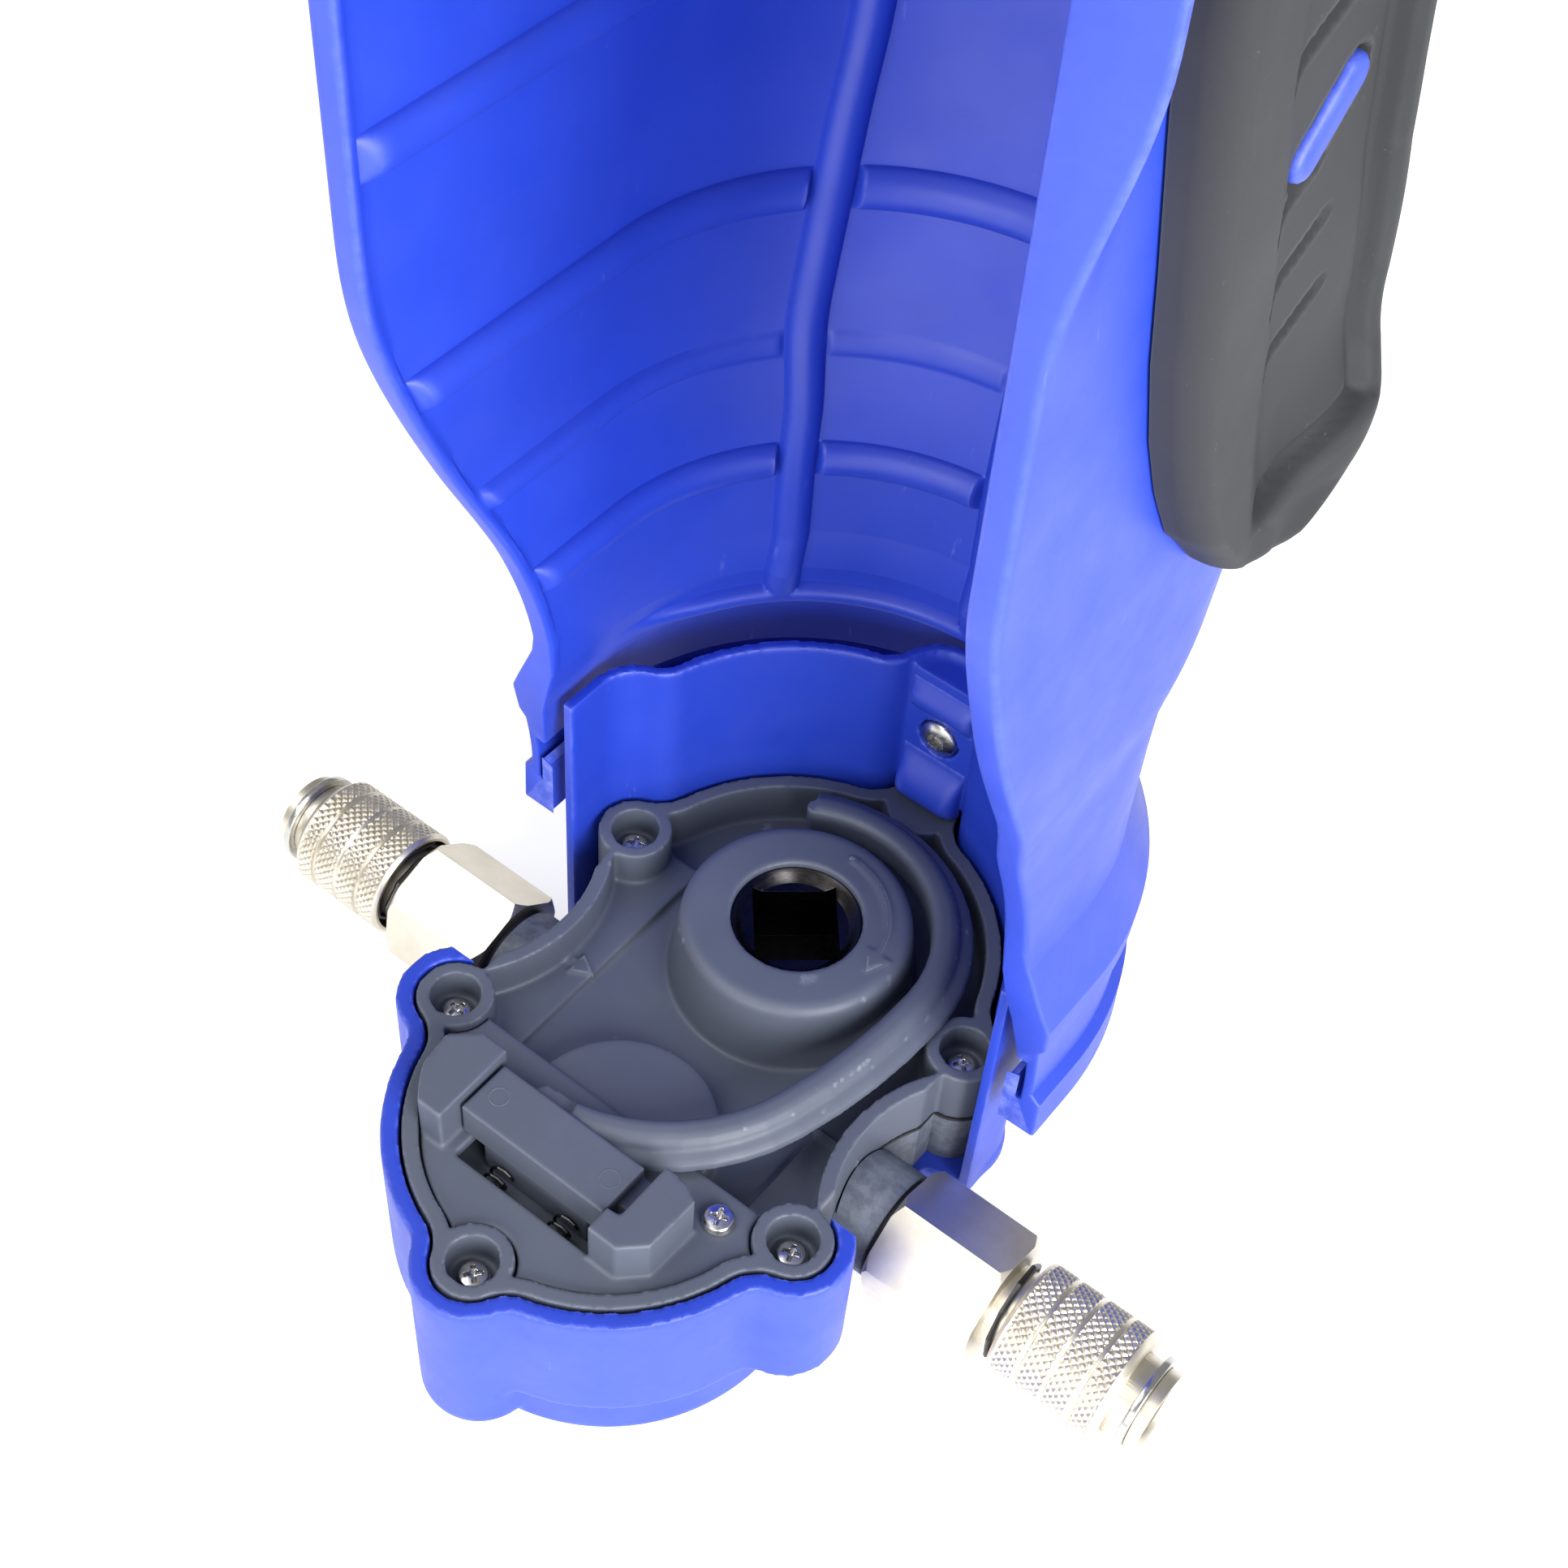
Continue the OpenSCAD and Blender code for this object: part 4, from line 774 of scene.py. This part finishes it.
def button_head(length):
    """A button-head screw with a hexagonal recess, its head's underside at z 0 and its shank downwards."""
    n = 96
    a = 2 * np.pi * np.arange(n) / n
    radii = np.concatenate([np.linspace(0, 2.2, 34), np.linspace(2.35, 3.2, 8), [3.28, 3.34, 3.38, 3.4]])
    rows = []
    for r in radii:
        x, y = r * np.cos(a), r * np.sin(a)
        flats = np.max([np.abs(x * math.cos(t) + y * math.sin(t)) for t in (0.2, 1.247, 2.294)], axis=0)
        dome = 2.75 - 1.0 * (r / 3.4) ** 2.4 - 0.55 * float(smooth(r, 3.1, 3.42))
        rows.append(np.stack([x, y, dome - 1.5 * (1 - smooth(flats, 1.28, 1.42))], -1))
    for r, z in ((3.4, 0.9), (3.4, 0.1), (3.3, 0.0), (2.0, 0.0), (2.0, 0.4 - length), (1.6, -length)):
        rows.append(np.stack([r * np.cos(a), r * np.sin(a), np.full(n, z)], -1))
    faces = grid_faces(len(rows), n, wrap=True)
    faces.append(tuple((len(rows) - 1) * n + k for k in range(n)))
    return np.concatenate(rows), faces


BRACKET_RIDGES = [
    [(36.4, 0.0), (36.5, 1.2), (36.9, 2.1), (37.6, 2.7), (38.6, 3.0), (39.8, 3.0), (41.0, 2.7), (42.2, 2.2),
     (43.3, 1.6), (44.2, 1.0), (45.0, 0.5), (45.8, 0.15), (46.6, 0.0)],
    [(55.0, 0.0), (55.6, 0.2), (56.2, 0.6), (56.9, 1.1), (57.7, 1.5), (58.6, 1.6), (59.5, 1.4), (60.3, 0.9),
     (61.0, 0.4), (61.6, 0.1), (62.0, 0.0)]]


def build_bracket():
    """The two rounded ridges of the bracket, above and below its screw, and the button screw."""
    points, faces = [], []
    xs = np.concatenate([-5.7 + np.array([0, 0.1, 0.35, 0.7, 1.2, 1.8]), np.linspace(-3.2, 3.2, 9),
                         5.7 - np.array([1.8, 1.2, 0.7, 0.35, 0.1, 0])])
    ends = np.sqrt(1 - np.clip((np.abs(xs) - 3.7) / 2.0, 0, 1) ** 2)
    for profile in BRACKET_RIDGES:
        shift = len(points)
        front = [(x, BRACKET_Y - h * (0.25 + 0.75 * e), z) for z, h in profile for x, e in zip(xs, ends)]
        back = [(x, BRACKET_Y + 0.4, z) for z, h in profile for x in xs]
        points += front + back
        faces += [tuple(i + shift for i in f) for f in closed_patch(len(profile), len(xs))]
    piece("bracket_ridges", points, faces, BLUE, "housing", (), 50)
    p, f = button_head(8.6)
    turned = np.stack([p[:, 0], BRACKET_Y + 1.9 - p[:, 2], BRACKET_Z + p[:, 1]], -1)
    piece("shell_button_screw", turned, f, STEEL, "housing", ("shell_screw",), 32)


def build_screws():
    points, faces = [], []
    for k, (x, y) in enumerate(BOSSES):
        p, f = pan_head(SCREW_SEAT_Z - SCREW_END_Z, 0.4 + 0.5 * k)
        shift = sum(len(q) for q in points)
        points.append(p + [x, y, SCREW_SEAT_Z])
        faces += [tuple(i + shift for i in face) for face in f]
    piece("case_screws", np.concatenate(points), faces, STEEL, "housing",
          ("cover_screws",), 32)
    p, f = pan_head(PLATE_TOP - FLOOR_Z - 1, 0.35)
    piece("plate_screw", p + [PLATE_SCREW[0], PLATE_SCREW[1], PLATE_TOP], f, STEEL, "housing",
          ("latch_plate_screw",), 32)


# ---------------------------------------------------------------- marks on the cover
def arrow(tail, angle, length, width, head):
    """Outline of a flat arrow from its tail, in mm."""
    c, s = math.cos(math.radians(angle)), math.sin(math.radians(angle))
    shape = [(0, -width / 2), (length - head, -width / 2), (length - head, -head * 0.55), (length, 0),
             (length - head, head * 0.55), (length - head, width / 2), (0, width / 2)]
    return [(tail[0] + x * c - y * s, tail[1] + x * s + y * c) for x, y in shape]


def arc_band(r, half, a0, a1, n=14):
    """Short quads along an arc, so that the band has no hollow outline."""
    bands = []
    for i in range(n):
        b0 = math.radians(a0 + (a1 - a0) * i / n)
        b1 = math.radians(a0 + (a1 - a0) * (i + 1) / n)
        bands.append([((r - half) * math.cos(b0), (r - half) * math.sin(b0)),
                      ((r + half) * math.cos(b0), (r + half) * math.sin(b0)),
                      ((r + half) * math.cos(b1), (r + half) * math.sin(b1)),
                      ((r - half) * math.cos(b1), (r - half) * math.sin(b1))])
    return bands


def cover_marks():
    """A curved arrow on the hub and a flat arrow beside each coupler."""
    r = 13.9
    solids = [(band, HUB_TOP - 0.4, HUB_TOP + 0.26) for band in arc_band(r, 0.32, 4, 92)]
    solids.append((arrow((r, 1.4), -86, 3.0, 0.6, 2.4), HUB_TOP - 0.4, HUB_TOP + 0.26))
    for s in (-1, 1):
        solids.append((arrow((s * 25.3 - 4, -22), 0, 8, 0.9, 3.4), FLOOR_Z + 1.0, FLOOR_Z + 1.78))
    return solids


def slider_marks():
    """Two ejector circles on the slider's top."""
    solids = []
    for x in (-12.2, 8.2):
        for band in arc_band(1.45, 0.07, 0, 360, 36):
            placed = [(x + px, -52.45 + py) for px, py in band]
            solids.append((placed, SLIDER_TOP - 0.3, SLIDER_TOP + 0.07))
    return solids


# ---------------------------------------------------------------- build
build_shell()
build_pads()
for sign, end in SIDES:
    build_sleeve(sign, end)
build_screws()
build_bracket()
moulded("pump_cover", GREY, "housing", 0.36, 5, 0.45, cover_marks())
moulded("lower_cup", BLUE, "housing", 0.50, 4, 0.42)
moulded("latch_plate", GREY, "housing", 0.30, 4, 0.6)
moulded("latch_slider", GREY, "latch", 0.26, 5, 0.6, slider_marks())
for _, end in SIDES:
    softened(f"coupler_body_{end}", 0.22)
    softened(f"retaining_ring_{end}", 0.18)
softened("drive_shaft", 0.15)


# ---------------------------------------------------------------- studio
def photo_camera():
    """The photograph's own view: 50 degrees above the horizon, 34 to the right, rolled by 5."""
    turn, roll = math.radians(34.06), math.radians(5.19)
    ahead = Vector((-0.35797, 0.52954, -0.76906)).normalized()
    right = Vector((math.cos(turn), math.sin(turn), 0))
    up = right.cross(ahead)
    x = math.cos(roll) * right + math.sin(roll) * up
    y = -math.sin(roll) * right + math.cos(roll) * up
    data = bpy.data.cameras.new("camera")
    data.sensor_width = 36
    data.lens = 54.55
    data.clip_start, data.clip_end = 0.01, 50
    cam = bpy.data.objects.new("camera", data)
    bpy.context.scene.collection.objects.link(cam)
    cam.matrix_world = Matrix.Translation(Vector((116.20, -178.55, 327.66)) * MM) @ Matrix(
        (x, y, -ahead)).transposed().to_4x4()
    bpy.context.scene.camera = cam


def area_light(name, place, target, size, power):
    data = bpy.data.lights.new(name, "AREA")
    data.shape = "RECTANGLE"
    data.size, data.size_y = size
    data.energy = power
    obj = bpy.data.objects.new(name, data)
    bpy.context.scene.collection.objects.link(obj)
    obj.location = place
    obj.rotation_euler = (Vector(target) - Vector(place)).to_track_quat("-Z", "Y").to_euler()


def studio():
    mesh = bpy.data.meshes.new("floor")
    mesh.from_pydata([(-4, -4, 0), (4, -4, 0), (4, 4, 0), (-4, 4, 0)], [], [(0, 1, 2, 3)])
    floor = bpy.data.objects.new("floor", mesh)
    floor.location = (0, 0, -0.0002)
    bpy.context.scene.collection.objects.link(floor)
    g = Graph("floor_paper")
    g.put(g.shader.inputs["Base Color"],
          g.mix(g.ramp(g.noise(9, 3), 0.3, 0.7, 0.0, 1.0), (0.90, 0.90, 0.90, 1), (0.93, 0.93, 0.93, 1)))
    g.shader.inputs["Roughness"].default_value = 0.9
    g.shader.inputs["Specular IOR Level"].default_value = 0.1
    g.shader.inputs["Emission Color"].default_value = (1.0, 1.0, 1.0, 1)
    g.shader.inputs["Emission Strength"].default_value = 0.42
    mesh.materials.append(g.material)
    world = bpy.data.worlds.new("studio")
    bpy.context.scene.world = world
    world.use_nodes = True
    world.node_tree.nodes["Background"].inputs["Color"].default_value = (1.0, 1.0, 1.0, 1)
    world.node_tree.nodes["Background"].inputs["Strength"].default_value = 0.34
    area_light("key", (-0.35, -0.45, 0.85), (0, 0, 0.08), (0.7, 0.7), 4.5)
    area_light("side", (0.80, -0.35, 0.42), (0.02, 0, 0.12), (0.5, 0.8), 15)
    area_light("front", (0.15, -0.95, 0.35), (0, -0.03, 0.05), (0.8, 0.4), 5)
    bpy.context.scene.view_settings.view_transform = "Standard"


photo_camera()
studio()
